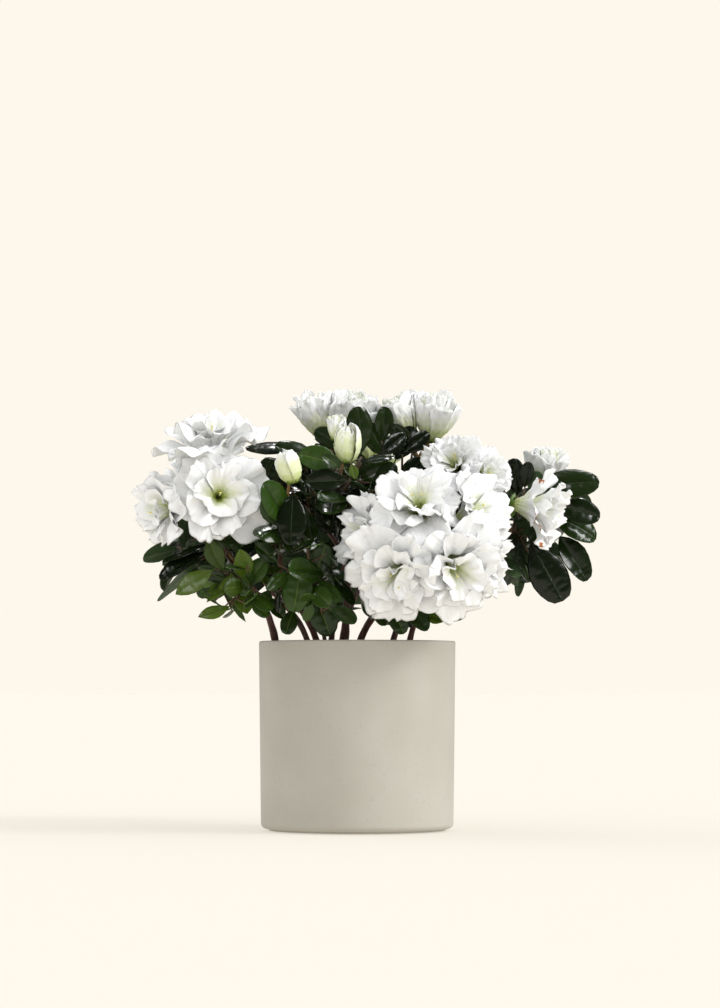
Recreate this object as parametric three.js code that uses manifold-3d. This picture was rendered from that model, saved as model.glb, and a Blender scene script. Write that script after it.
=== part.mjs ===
// A white double azalea in bloom, standing in a plain stoneware cylinder pot.
//
// Woody stems rise from the potting soil, fork into boughs just above the rim, and each bough carries
// one leafy head: a mass of twigs that end in whorls of oval leaves. Most heads also carry a truss, a
// tight bunch of ruffled double flowers on one short stalk, or a fat bud.
//
// Units are millimetres and degrees. +Z is up, +X is to the right and -Y is the front. The origin is
// the centre of the pot's flat underside.

import * as THREE from "three";
import { mergeVertices } from "three/addons/utils/BufferGeometryUtils.js";
import Module from "manifold-3d";

const wasm = await Module();
wasm.setup();

// ---------- driving dimensions ----------

const POT = {
  height: 134,
  topRadius: 70,
  bottomRadius: 68.4,
  wall: 5,
  floor: 7,
  footRadius: 63,
  footHeight: 1.2,
  footCurve: 4,
  rimCurve: 1.4,
  sides: 36,
};
const SOIL = { below: 12, shoulder: 3, gap: 0.5 };
const CLEAR = 0.35; // the gap between a limb's tip and what grows on from it
const BEND = 0.45; // how far along its reach a limb starts to turn towards its end
const GOLDEN = 137.5; // the turn from one leaf or shoot to the next

// Radii, and the sides and straight steps that each kind of limb is made in. A stem's foot flares. A
// bough covers a share of the way to the middle of its head, and is slimmer where two share a fork.
const STEM = { flare: 0.35, sides: 6, steps: 4 };
const BOUGH = { share: 0.7, single: 0.95, paired: 0.66, tip: 1.5, sides: 5, steps: 3 };
const TWIG = { base: 1.2, tip: 0.8, sides: 3, steps: 3, past: 0.25, tries: [0.5, 0.8, 0.2] };
const STALK = { base: 1.2, tip: 1.1, flower: 1.5, tube: 0.35, sides: 4, steps: 4, aside: 1.4 };

// Shoots leave the main twig between two places on it, and lean off the way the head faces. Leaves sit
// along a shoot, nearly square to it at first and more forward near its tip, where the last are small.
const SHOOT = { from: 0.3, to: 0.8, tilt: [58, 88], turn: 40, reach: [0.8, 1.15] };
const WHORL = { leaves: 9, from: 0.4, to: 0.98, tilt: [86, 46], spare: 16, turn: 30, last: 2 };
const LENGTH = { least: 0.8, most: 1.2, last: 0.7 };

// A leaf's sizes as shares of its length. free is the share next to its root that may cross others.
const LEAF = { width: 0.54, shoulder: 0.36, cheek: 0.74, keel: 0.04, droop: 0.08, sag: 0.12, free: 0.2 };
const PETAL = { frill: 0.025, wave: 2.4, flat: 0.9, turn: 50 };
const SEED = 101; // the first head's seed; the rest follow on

// Each stem: where it stands on the soil, where it forks, and its radius at the cut and at the fork.
const STEMS = [
  { name: "stem_left", foot: [-57, -6], fork: [-64, -8, 154], radius: [2.8, 2.3] },
  { name: "stem_left_front", foot: [-27, -14], fork: [-46, -22, 164], radius: [2.6, 2.1] },
  { name: "stem_slender", foot: [-22, -25], fork: [-37, -36, 178], radius: [1.6, 1.2] },
  { name: "stem_left_back", foot: [-34, 20], fork: [-54, 40, 162], radius: [2.4, 2.0] },
  { name: "stem_middle", foot: [-9, -3], fork: [-6, -4, 176], radius: [3.0, 2.5] },
  { name: "stem_middle_left", foot: [-19, 7], fork: [-11, 12, 180], radius: [2.2, 1.8] },
  { name: "stem_middle_back", foot: [-12, 24], fork: [0, 42, 170], radius: [2.2, 1.8] },
  { name: "stem_right_front", foot: [0, -12], fork: [24, -22, 164], radius: [2.7, 2.2] },
  { name: "stem_right", foot: [36, -4], fork: [50, -4, 166], radius: [2.3, 1.9] },
  { name: "stem_right_back", foot: [24, 22], fork: [40, 38, 162], radius: [2.4, 2.0] },
];

// Each head: the stem whose fork its bough leaves, the middle of its space, the way it faces as
// [bearing, rise] (bearing 0 is the front, 90 the right), its number of shoots, how far they spread,
// and its leaf length. A truss has a heart, where its stalk ends, and a bloom for each [bearing, rise,
// reach, width], all as open as it says, from 0, a bud, to 1. Single leaves that hang or stand out past
// the rest are given by root, tip and the way their face is turned. A young head's leaves are light
// green.
const HEADS = [
  {
    name: "left", stem: "stem_left", at: [-98, -18, 206], faces: [-60, 20],
    shoots: 5, spread: 32, leaf: 40,
    truss: {
      at: [-101, -26, 231],
      open: 1,
      blooms: [[8, 4, 38, 68], [-54, -14, 38, 68], [-8, 70, 38, 78]],
    },
    leaves: [
      { root: [-104, -26, 198], tip: [-143, -32, 182], face: [-0.2, -0.5, 1] },
      { root: [-110, -20, 192], tip: [-143, -22, 163], face: [-0.8, 0.3, 0.6] },
    ],
  },
  {
    name: "low_left", stem: "stem_left", at: [-82, -48, 180], faces: [-60, 15],
    shoots: 6, spread: 30, leaf: 30, young: true,
  },
  {
    name: "front_left", stem: "stem_left_front", at: [-56, -56, 212], faces: [-20, 25],
    shoots: 6, spread: 22, leaf: 36,
    truss: { at: [-47, -72, 244], open: 0, blooms: [[-15, 78, 2, 15]] },
    leaves: [
      { root: [-44, -82, 238], tip: [-46, -90, 198], face: [0, -1, 0.2] },
    ],
  },
  {
    name: "low_front", stem: "stem_slender", at: [-30, -62, 172], faces: [-20, 5],
    shoots: 4, spread: 28, leaf: 36,
    leaves: [
      { root: [-38, -72, 190], tip: [-44, -78, 152], face: [-0.2, -1, 0.1] },
    ],
  },
  {
    name: "top_front", stem: "stem_middle_left", at: [-16, -48, 236], faces: [-10, 40],
    shoots: 7, spread: 24, leaf: 36,
    truss: { at: [-9, -54, 261], open: 0, blooms: [[5, 80, 3, 22]] },
    leaves: [
      { root: [-13, -66, 252], tip: [-42, -72, 263], face: [-0.1, -0.9, 0.6] },
      { root: [-6, -72, 242], tip: [-34, -82, 243], face: [0.1, -0.9, 0.5] },
    ],
  },
  {
    name: "top_left", stem: "stem_middle", at: [-36, 4, 238], faces: [-50, 60],
    shoots: 6, spread: 27, leaf: 40,
    truss: { at: [-16, 6, 264], open: 0.3, blooms: [[-70, 70, 24, 32], [60, 72, 24, 32]] },
    leaves: [
      { root: [-42, -16, 264], tip: [-80, -20, 274], face: [-0.1, -0.6, 1] },
    ],
  },
  {
    name: "top_right", stem: "stem_middle", at: [36, 4, 234], faces: [20, 60],
    shoots: 6, spread: 22, leaf: 36,
    truss: { at: [44, 4, 264], open: 0.3, blooms: [[-70, 70, 24, 32], [50, 76, 24, 32]] },
  },
  {
    name: "front", stem: "stem_right_front", at: [32, -48, 176], faces: [5, -5],
    shoots: 5, spread: 36, leaf: 38,
    truss: {
      at: [46, -60, 204],
      open: 1,
      blooms: [
        [-62, 2, 40, 62], [-24, -30, 47, 72], [26, -26, 47, 74],
        [-6, 30, 42, 62], [50, 22, 44, 60], [66, -22, 44, 58],
      ],
    },
  },
  {
    name: "right_front", stem: "stem_right", at: [80, -24, 220], faces: [30, 30],
    shoots: 6, spread: 24, leaf: 36,
    truss: { at: [79, -32, 246], open: 0.6, blooms: [[-30, 45, 16, 38], [40, 40, 16, 38]] },
  },
  {
    name: "far_right", stem: "stem_right", at: [118, -16, 218], faces: [60, 0],
    shoots: 3, spread: 24, leaf: 40,
    truss: { at: [104, -38, 224], open: 0.75, blooms: [[62, -6, 22, 54]] },
    leaves: [
      { root: [124, -14, 236], tip: [172, -20, 248], face: [0, -0.7, 1] },
      { root: [132, -6, 222], tip: [174, -6, 205], face: [0.3, -0.9, 0.5] },
      { root: [136, -4, 210], tip: [160, -2, 175], face: [0.2, -1, 0.3] },
      { root: [114, -28, 206], tip: [142, -34, 160], face: [0.1, -1, 0.4] },
      { root: [114, -14, 238], tip: [109, -18, 268], face: [-0.3, -1, 0.3] },
    ],
  },
  {
    name: "right_back", stem: "stem_right_back", at: [106, 46, 210], faces: [110, 30],
    shoots: 5, spread: 34, leaf: 44,
    truss: { at: [137, 22, 248], open: 0.4, blooms: [[40, 78, 8, 30]] },
  },
  {
    name: "back_right", stem: "stem_right_back", at: [56, 80, 190], faces: [150, 15],
    shoots: 5, spread: 36, leaf: 46,
    truss: { at: [62, 82, 214], open: 1, blooms: [[158, -8, 38, 60], [95, 8, 36, 58], [140, 62, 36, 58]] },
  },
  {
    name: "top_back", stem: "stem_middle_back", at: [-2, 56, 230], faces: [180, 45],
    shoots: 6, spread: 26, leaf: 40,
    truss: { at: [14, 58, 256], open: 0.5, blooms: [[150, 62, 22, 38], [-140, 60, 22, 38]] },
  },
  {
    name: "back", stem: "stem_left_back", at: [-26, 84, 184], faces: [190, 10],
    shoots: 6, spread: 36, leaf: 46,
    truss: { at: [-24, 82, 208], open: 1, blooms: [[182, -16, 38, 60], [228, 26, 38, 58]] },
  },
  {
    name: "left_back", stem: "stem_left_back", at: [-90, 46, 210], faces: [-110, 20],
    shoots: 5, spread: 36, leaf: 46,
    truss: { at: [-92, 46, 236], open: 0.9, blooms: [[-110, 5, 34, 60], [-140, 58, 34, 58]] },
  },
];

// ---------- small helpers ----------

const rad = THREE.MathUtils.degToRad;
const mix = THREE.MathUtils.lerp;
const vec = (p) => new THREE.Vector3(...p);

// Random numbers from 0 to 1 that are the same in every run.
function seeded(seed) {
  let s = seed >>> 0;
  return () => {
    s = (s + 0x6d2b79f5) >>> 0;
    let t = Math.imul(s ^ (s >>> 15), 1 | s);
    t = (t + Math.imul(t ^ (t >>> 7), 61 | t)) ^ t;
    return ((t ^ (t >>> 14)) >>> 0) / 4294967296;
  };
}

// A unit vector from a bearing and a rise in degrees.
function facing([bearing, rise]) {
  const b = rad(bearing);
  const r = rad(rise);
  return new THREE.Vector3(Math.sin(b) * Math.cos(r), -Math.cos(b) * Math.cos(r), Math.sin(r));
}

// Two unit vectors square to axis: the first lies level, the second points as far up as it can.
function squareTo(axis) {
  const level = new THREE.Vector3(-axis.y, axis.x, 0);
  if (level.lengthSq() < 1e-6) level.set(1, 0, 0);
  level.normalize();
  return [level, new THREE.Vector3().crossVectors(axis, level).normalize()];
}

// The direction that leans off axis by tilt degrees, towards turn degrees round it.
function leaning(axis, tilt, turn) {
  const [u, v] = squareTo(axis);
  return axis
    .clone()
    .multiplyScalar(Math.cos(rad(tilt)))
    .addScaledVector(u, Math.sin(rad(tilt)) * Math.cos(rad(turn)))
    .addScaledVector(v, Math.sin(rad(tilt)) * Math.sin(rad(turn)));
}

// A closed geometry as a manifold-3d solid.
function solidOf(geometry) {
  const bare = geometry.clone();
  bare.deleteAttribute("normal");
  bare.deleteAttribute("uv");
  const merged = mergeVertices(bare, 1e-4);
  return new wasm.Manifold(
    new wasm.Mesh({
      numProp: 3,
      vertProperties: new Float32Array(merged.attributes.position.array),
      triVerts: new Uint32Array(merged.index.array),
    }),
  );
}

// A manifold-3d solid as a geometry.
function geometryOf(solid) {
  const mesh = solid.getMesh();
  const geometry = new THREE.BufferGeometry();
  geometry.setAttribute("position", new THREE.BufferAttribute(new Float32Array(mesh.vertProperties), 3));
  geometry.setIndex(new THREE.BufferAttribute(new Uint32Array(mesh.triVerts), 1));
  geometry.computeVertexNormals();
  return geometry;
}

// Several solids as one body. Loose scraps are dropped, and a sealed hollow is filled.
function fused(solids) {
  const bodies = wasm.Manifold.union(solids).decompose();
  return bodies.reduce((most, b) => (b.volume() > most.volume() ? b : most));
}

// ---------- limbs and twigs ----------

// The curve of a limb that leaves start along a direction and arrives at end.
function limbCurve(start, direction, end) {
  const reach = start.distanceTo(end);
  const bend = start.clone().addScaledVector(direction, reach * BEND);
  return new THREE.QuadraticBezierCurve3(start, bend, end);
}

// A place on the centre line of a limb made in straight steps, at t from 0 to 1 along it.
function onLimb(curve, steps, t) {
  const step = Math.min(Math.floor(t * steps), steps - 1);
  const from = curve.getPoint(step / steps);
  return from.lerp(curve.getPoint((step + 1) / steps), t * steps - step);
}

// A tapering limb: a cylinder bent along its curve without a twist, with flat ends. A flared foot is
// widened, and cut level.
function limb(curve, [base, tip], sides, steps, flare = 0) {
  const geometry = new THREE.CylinderGeometry(1, 1, 1, sides, steps);
  const places = geometry.getAttribute("position");
  const level = geometry.getAttribute("position").clone();
  const [side] = squareTo(curve.getTangent(0.5));
  for (let i = 0; i < places.count; i++) {
    const t = level.getY(i) + 0.5;
    const centre = curve.getPoint(t);
    const along = flare && t < 0.01 ? new THREE.Vector3(0, 0, 1) : curve.getTangent(t);
    const u = side.clone().addScaledVector(along, -side.dot(along)).normalize();
    const v = new THREE.Vector3().crossVectors(along, u);
    const girth = mix(base, tip, t) * (1 + flare * (1 - Math.min(t * 4, 1)) ** 2);
    centre.addScaledVector(u, -level.getX(i) * girth).addScaledVector(v, level.getZ(i) * girth);
    places.setXYZ(i, centre.x, centre.y, centre.z);
  }
  return geometry;
}

// ---------- leaves and petals ----------

// A thin closed leaf along +X with its face up: a face of six points, and a lower side that meets in a
// keel from root to tip. The tip droops.
function blade(length, width, keel) {
  const points = [
    [0, 0, 0],
    [LEAF.shoulder * length, -width / 2, keel],
    [LEAF.cheek * length, -width / 2, keel],
    [length, 0, -LEAF.droop * length],
    [LEAF.cheek * length, width / 2, keel],
    [LEAF.shoulder * length, width / 2, keel],
  ];
  const geometry = new THREE.BufferGeometry().setFromPoints(points.map(vec));
  geometry.setIndex([0, 1, 5, 1, 2, 4, 1, 4, 5, 2, 3, 4, 1, 0, 3, 1, 3, 2, 0, 5, 3, 5, 4, 3]);
  return geometry;
}

// Puts a blade at a place, pointing along a direction, with its face turned towards up.
function placed(geometry, place, direction, up) {
  const x = direction.clone().normalize();
  const y = new THREE.Vector3().crossVectors(up, x).normalize();
  const z = new THREE.Vector3().crossVectors(x, y);
  return geometry.clone().applyMatrix4(new THREE.Matrix4().makeBasis(x, y, z).setPosition(place));
}

// One leaf, grown by margin all round where it is only a probe for what it would touch.
function leaf(place, direction, up, length, margin = 0) {
  const around = 2 * margin;
  const geometry = blade(length + margin, length * LEAF.width + around, length * LEAF.keel + around);
  const root = place.clone().addScaledVector(direction, -margin / 2);
  return solidOf(placed(geometry, root, direction, up));
}

// A closed solid of rings round an axis, from a point at its foot to a point in its top. Each ring has
// a height above centre and a radius, both as shares of size, and how deep its lobes are cut. Lobed rings
// are frilled a little, each corner by its own amount.
function ringed(centre, axis, size, foot, rings, top, lobes, turn) {
  const sides = lobes * 2;
  const [u, v] = squareTo(axis);
  const points = [centre.clone().addScaledVector(axis, foot * size)];
  for (const [height, radius, lobed] of rings) {
    for (let i = 0; i < sides; i++) {
      const angle = rad(turn + (i * 360) / sides);
      const frill = lobed ? PETAL.frill * Math.sin(i * PETAL.wave) : 0;
      const out = size * (radius - (i % 2 === 0 ? lobed : 0) + frill);
      points.push(
        centre
          .clone()
          .addScaledVector(axis, size * (height - frill))
          .addScaledVector(u, out * Math.cos(angle))
          .addScaledVector(v, out * Math.sin(angle)),
      );
    }
  }
  points.push(centre.clone().addScaledVector(axis, top * size));
  const faces = [];
  for (let i = 0; i < sides; i++) {
    const next = (i + 1) % sides;
    faces.push(0, 1 + next, 1 + i);
    for (let r = 0; r + 1 < rings.length; r++) {
      const low = 1 + r * sides;
      const high = low + sides;
      faces.push(low + i, low + next, high + next, low + i, high + next, high + i);
    }
    const last = 1 + (rings.length - 1) * sides;
    faces.push(last + i, last + next, points.length - 1);
  }
  const geometry = new THREE.BufferGeometry().setFromPoints(points);
  geometry.setIndex(faces);
  return solidOf(geometry);
}

// One double flower on its own stalk of length reach: a lobed funnel of outer petals, and a smaller
// whorl that stands up out of it. open runs from 0, a fat bud, to 1, a flower that lies flat. Each ring's
// numbers are for a cup and for a flat flower.
function bloom(centre, axis, reach, width, open, turn) {
  if (open === 0) {
    const belly = [[-0.1, 0.42, 0], [0.5, 0.5, 0], [1.05, 0.3, 0]];
    return ringed(centre, axis, width, -0.5, belly, 1.2, 3, turn);
  }
  const at = (cup, flat) => mix(cup, flat, open);
  const stalk = [-STALK.tube, STALK.flower / width, 0];
  const throat = [0, 0.13, 0];
  const side = [at(0.45, 0.02), at(0.52, 0.34), 0];
  const rim = [at(0.95, 0.12), at(0.44, 0.52), 0.06];
  const fold = [at(0.8, 0.08), at(0.36, 0.24), 0];
  const crown = [at(1.05, 0.3), at(0.3, 0.32), 0.05];
  const rings = [throat, rim, fold, crown];
  if (open < PETAL.flat) rings.splice(1, 0, side);
  if (reach > STALK.tube * width) rings.unshift(stalk);
  return ringed(centre, axis, width, -reach / width, rings, at(0.9, 0.1), 5, turn);
}

// ---------- the parts of the plant ----------

const soilTop = POT.height - SOIL.below;
const group = new THREE.Group();
const finishes = {
  stoneware: new THREE.MeshStandardMaterial({ color: 0xcbc4b4, roughness: 0.75, metalness: 0 }),
  soil: new THREE.MeshStandardMaterial({ color: 0x3b2a1e, roughness: 1, metalness: 0 }),
  bark: new THREE.MeshStandardMaterial({ color: 0x5a3a2c, roughness: 0.85, metalness: 0 }),
  leaf: new THREE.MeshStandardMaterial({ color: 0x2c4526, roughness: 0.35, metalness: 0 }),
  young: new THREE.MeshStandardMaterial({ color: 0x4a7a2c, roughness: 0.4, metalness: 0 }),
  petal: new THREE.MeshStandardMaterial({ color: 0xf6f6f0, roughness: 0.6, metalness: 0 }),
};

function add(name, geometry, finish) {
  const mesh = new THREE.Mesh(geometry, finishes[finish]);
  mesh.name = name;
  group.add(mesh);
}

// A round corner of an outline from angle a to angle b, in two steps.
function corner(x, y, radius, a, b) {
  return [0, 1, 2].map((i) => {
    const t = rad(mix(a, b, i / 2));
    return new THREE.Vector2(x + radius * Math.cos(t), y + radius * Math.sin(t));
  });
}

function potGeometry() {
  const { height, topRadius, bottomRadius, footRadius, footHeight, footCurve, rimCurve } = POT;
  const inner = topRadius - POT.wall;
  return new THREE.LatheGeometry(
    [
      new THREE.Vector2(0, 0),
      new THREE.Vector2(footRadius, 0),
      new THREE.Vector2(footRadius, footHeight),
      ...corner(bottomRadius - footCurve, footHeight + footCurve, footCurve, -90, 0),
      ...corner(topRadius - rimCurve, height - rimCurve, rimCurve, 0, 90),
      new THREE.Vector2(inner, height - rimCurve),
      new THREE.Vector2(inner, POT.floor),
      new THREE.Vector2(0, POT.floor),
    ],
    POT.sides,
  ).rotateX(Math.PI / 2);
}

function soilGeometry() {
  const edge = POT.topRadius - POT.wall - SOIL.gap;
  return new THREE.LatheGeometry(
    [
      new THREE.Vector2(0, POT.floor + CLEAR),
      new THREE.Vector2(edge, POT.floor + CLEAR),
      new THREE.Vector2(edge, soilTop - SOIL.shoulder),
      new THREE.Vector2(edge - SOIL.shoulder, soilTop),
      new THREE.Vector2(0, soilTop),
    ],
    POT.sides,
  ).rotateX(Math.PI / 2);
}

// A stem's curve, from its flat cut on the soil to its fork.
function stemCurve(stem) {
  const foot = new THREE.Vector3(...stem.foot, soilTop + CLEAR);
  return limbCurve(foot, new THREE.Vector3(0, 0, 1), vec(stem.fork));
}

// The curve of the bough that carries a head. Boughs that share a fork leave it side by side.
function boughCurve(head) {
  const stem = STEMS.find((s) => s.name === head.stem);
  const along = stemCurve(stem).getTangent(1);
  const sharing = HEADS.filter((h) => h.stem === head.stem);
  const start = vec(stem.fork).addScaledVector(along, CLEAR);
  if (sharing.length > 1) {
    const aside = vec(head.at).multiplyScalar(sharing.length);
    for (const other of sharing) aside.sub(vec(other.at));
    aside.addScaledVector(along, -aside.dot(along)).normalize();
    start.addScaledVector(aside, boughRadii(head)[0] + CLEAR / 2);
  }
  const end = vec(stem.fork).lerp(vec(head.at), BOUGH.share);
  return limbCurve(start, along, end);
}

function boughRadii(head) {
  const stem = STEMS.find((s) => s.name === head.stem);
  const shared = HEADS.filter((h) => h.stem === head.stem).length > 1;
  return [stem.radius[1] * (shared ? BOUGH.paired : BOUGH.single), BOUGH.tip];
}

// Where a stalk or a leafy stem starts, just clear of its bough's tip. Where a head has both, they
// stand side by side on it, the flower stalk on its own truss's side.
function besideTip(head, tip, along, aside) {
  const start = tip.clone().addScaledVector(along, CLEAR);
  if (!head.truss) return start;
  const side = vec(head.truss.at).sub(tip);
  side.addScaledVector(along, -side.dot(along)).normalize();
  return start.addScaledVector(side, aside);
}

// A truss: a stalk from beside the bough's tip, with each bloom on a flower stalk from its heart.
function trussSolid(head, tip, along) {
  const heart = vec(head.truss.at);
  const start = besideTip(head, tip, along, STALK.aside);
  const curve = limbCurve(start, along, heart);
  const solids = [solidOf(limb(curve, [STALK.base, STALK.tip], STALK.sides, STALK.steps))];
  head.truss.blooms.forEach(([bearing, rise, reach, width], i) => {
    const out = facing([bearing, rise]);
    const centre = heart.clone().addScaledVector(out, reach);
    solids.push(bloom(centre, out, reach, width, head.truss.open, i * PETAL.turn));
  });
  return fused(solids);
}

// True if the solid's box meets the other's, and their bodies do.
function touches(solid, other) {
  const a = solid.boundingBox();
  const b = other.boundingBox();
  for (let k = 0; k < 3; k++) if (a.min[k] > b.max[k] || a.max[k] < b.min[k]) return false;
  return !solid.intersect(other).isEmpty();
}

// True if every corner of the geometry is nearer this head's middle than any other head's, by a margin.
function inSpace(solid, head) {
  const mesh = solid.getMesh();
  const point = new THREE.Vector3();
  for (let i = 0; i < mesh.vertProperties.length; i += mesh.numProp) {
    point.fromArray(mesh.vertProperties, i);
    const own = point.distanceToSquared(vec(head.at));
    for (const other of HEADS) {
      if (other === head) continue;
      const apart = vec(head.at).distanceTo(vec(other.at));
      if (point.distanceToSquared(vec(other.at)) - own < 2 * apart * CLEAR) return false;
    }
  }
  return true;
}

// A leafy mass. A main twig runs from the bough's tip to just past the middle of the head, shoots leave
// it by the golden turn, and leaves sit round each of them by the same turn. A single leaf tries a few
// places on the main twig for its own. A shoot or leaf that would leave the head's space, or touch a
// limb, a flower or another leaf, is left out.
function leafMass(head, seed, tip, along, obstacles) {
  const random = seeded(seed);
  const axis = facing(head.faces);
  const heart = vec(head.at);
  const start = besideTip(head, tip, along, -STALK.aside);
  const main = limbCurve(start, along, heart.clone().addScaledVector(axis, head.spread * TWIG.past));
  const twigs = [solidOf(limb(main, [TWIG.base, TWIG.tip], TWIG.sides, TWIG.steps))];
  const leaves = [];
  const blades = [];
  const clear = (probe) => inSpace(probe, head) && !obstacles.some((o) => touches(probe, o));

  function grow(root, direction, up, length) {
    const beyond = root.clone().addScaledVector(direction, length * LEAF.free);
    const blade = leaf(beyond, direction, up, length * (1 - LEAF.free));
    if (blades.some((b) => touches(blade, b))) return;
    if (!clear(leaf(root, direction, up, length, CLEAR))) return;
    blades.push(blade);
    leaves.push(leaf(root, direction, up, length));
  }

  // A straight twig from a place on the main one, for the whorl or the single leaf at its end.
  function shoot(t, end, radii) {
    const curve = new THREE.LineCurve3(onLimb(main, TWIG.steps, t), end);
    const solid = solidOf(limb(curve, radii, TWIG.sides, 1));
    if (!clear(solid)) return null;
    twigs.push(solid);
    return { curve, steps: 1 };
  }

  for (const { root, tip: end, face } of head.leaves ?? []) {
    const direction = vec(end).sub(vec(root));
    const length = direction.length();
    direction.normalize();
    const stalkEnd = vec(root).addScaledVector(direction, 1);
    const stalk = TWIG.tries.some((t) => shoot(t, stalkEnd, [TWIG.tip, TWIG.tip]));
    if (stalk) grow(vec(root), direction, vec(face), length);
  }

  const shoots = [{ curve: main, steps: TWIG.steps }];
  for (let k = 0; k < head.shoots; k++) {
    const away = leaning(axis, mix(...SHOOT.tilt, random()), k * GOLDEN + random() * SHOOT.turn);
    const end = heart.clone().addScaledVector(away, head.spread * mix(...SHOOT.reach, random()));
    const twig = shoot(mix(SHOOT.from, SHOOT.to, k / head.shoots), end, [TWIG.base, TWIG.tip]);
    if (twig) shoots.push(twig);
  }
  for (const { curve, steps } of shoots) {
    for (let j = 0; j < WHORL.leaves; j++) {
      const t = mix(WHORL.from, WHORL.to, j / (WHORL.leaves - 1));
      const grows = curve.getTangent(t);
      const tilt = mix(...WHORL.tilt, j / WHORL.leaves) + random() * WHORL.spare;
      const direction = leaning(grows, tilt, j * GOLDEN + random() * WHORL.turn);
      direction.z -= LEAF.sag;
      direction.normalize();
      const small = j < WHORL.leaves - WHORL.last ? 1 : LENGTH.last;
      const share = small * mix(LENGTH.least, LENGTH.most, random());
      grow(onLimb(curve, steps, t), direction, grows, head.leaf * share);
    }
  }
  return fused([...twigs, ...leaves]);
}

// ---------- assembly ----------

add("pot", potGeometry(), "stoneware");
add("potting_soil", soilGeometry(), "soil");

const obstacles = [solidOf(potGeometry())];
for (const stem of STEMS) {
  const solid = solidOf(limb(stemCurve(stem), stem.radius, STEM.sides, STEM.steps, STEM.flare));
  obstacles.push(solid);
  add(stem.name, geometryOf(solid), "bark");
}

const tips = HEADS.map((head) => {
  const curve = boughCurve(head);
  const solid = solidOf(limb(curve, boughRadii(head), BOUGH.sides, BOUGH.steps));
  obstacles.push(solid);
  add(`bough_${head.name}`, geometryOf(solid), "bark");
  return { head, tip: curve.getPoint(1), along: curve.getTangent(1) };
});

for (const { head, tip, along } of tips) {
  if (!head.truss) continue;
  const solid = trussSolid(head, tip, along);
  obstacles.push(solid);
  add(`${head.truss.open > 0 ? "truss" : "buds"}_${head.name}`, geometryOf(solid), "petal");
}

tips.forEach(({ head, tip, along }, i) => {
  const solid = leafMass(head, SEED + i, tip, along, obstacles);
  add(`leaves_${head.name}`, geometryOf(solid), head.young ? "young" : "leaf");
});

export default group;
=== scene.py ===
"""A white double azalea in bloom, in a plain stoneware cylinder pot.

Lengths are millimetres until MM turns them into metres, and angles are degrees where nothing else is
said. +Z is up, +X is to the right and -Y is the front. The origin is the centre of the pot's underside.
"""

import math

import bpy
import numpy as np
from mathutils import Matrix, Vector, noise
from mathutils.bvhtree import BVHTree


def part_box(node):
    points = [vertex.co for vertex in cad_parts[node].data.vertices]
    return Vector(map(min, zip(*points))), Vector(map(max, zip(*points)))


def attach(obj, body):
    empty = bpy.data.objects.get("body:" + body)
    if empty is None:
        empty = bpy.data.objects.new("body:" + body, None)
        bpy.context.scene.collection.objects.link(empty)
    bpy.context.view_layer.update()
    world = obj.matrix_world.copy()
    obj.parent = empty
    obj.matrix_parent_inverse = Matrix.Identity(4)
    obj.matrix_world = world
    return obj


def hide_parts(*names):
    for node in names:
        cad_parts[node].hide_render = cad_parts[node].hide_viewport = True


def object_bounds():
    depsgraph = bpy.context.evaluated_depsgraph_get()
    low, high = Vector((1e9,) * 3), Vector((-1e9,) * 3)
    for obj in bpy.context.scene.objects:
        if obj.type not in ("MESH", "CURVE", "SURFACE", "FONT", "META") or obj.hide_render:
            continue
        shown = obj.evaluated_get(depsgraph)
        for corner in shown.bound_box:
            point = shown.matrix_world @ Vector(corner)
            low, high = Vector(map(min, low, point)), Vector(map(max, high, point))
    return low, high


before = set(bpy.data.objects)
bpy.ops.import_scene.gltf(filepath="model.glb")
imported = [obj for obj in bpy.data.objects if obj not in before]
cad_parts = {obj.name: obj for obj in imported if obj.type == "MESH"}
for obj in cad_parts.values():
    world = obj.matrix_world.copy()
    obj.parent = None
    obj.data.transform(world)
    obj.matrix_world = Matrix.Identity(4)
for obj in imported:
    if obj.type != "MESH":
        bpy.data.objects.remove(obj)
cad_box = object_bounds()
MM = 0.001

# ---------- camera ----------
# A long lens about two metres off, a little below the pot's rim, looks slightly up into the crown.
# Nothing is shifted and everything is sharp.

CAMERA = {"place": (2, -2190, 100), "aim": (2, 0, 232), "lens": 109.6, "sensor": 36}

camera = bpy.data.objects.new("camera", bpy.data.cameras.new("camera"))
camera.data.sensor_width = CAMERA["sensor"]
camera.data.lens = CAMERA["lens"]
camera.location = Vector(CAMERA["place"]) * MM
camera.rotation_euler = (Vector(CAMERA["aim"]) * MM - camera.location).to_track_quat("-Z", "Y").to_euler()
bpy.context.scene.collection.objects.link(camera)
bpy.context.scene.camera = camera

# ---------- pot ----------
# A straight cylinder of cream stoneware, cast in a mould, with a rounded lower edge over a recessed foot.
# The bare outside is rubbed smooth, so it looks like fine dry stone.

POT = {"wall": 5, "floor": 7, "taper": 1.6, "rim_curve": 1.4, "sides": 180, "crease": 50}
FOOT = {"radius": 63, "edge": 0.5, "height": 1.2, "curve": 4}
STONEWARE = {"body": "#b5b1a7", "dark": "#ada89d", "speck": "#a8a499", "roughness": 0.62, "ior": 1.5}
GRAIN = {"sand": 0.9, "speck": 1.6, "cloud": 45}  # real sand and specks are too fine to show


def linear(colour):
    """An sRGB hex colour as the linear colour that Blender's sockets take."""
    channels = [int(colour[i : i + 2], 16) / 255 for i in (1, 3, 5)]
    return [c / 12.92 if c <= 0.04045 else ((c + 0.055) / 1.055) ** 2.4 for c in channels] + [1.0]


def add_node(tree, kind, settings=None, links=None):
    """Adds a node, sets its inputs and properties by name, and links outputs of others to its inputs."""
    made = tree.nodes.new(kind)
    for name, value in (settings or {}).items():
        if name in made.inputs:
            made.inputs[name].default_value = value
        else:
            setattr(made, name, value)
    for name, source in (links or {}).items():
        tree.links.new(source, made.inputs[name])
    return made


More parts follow.
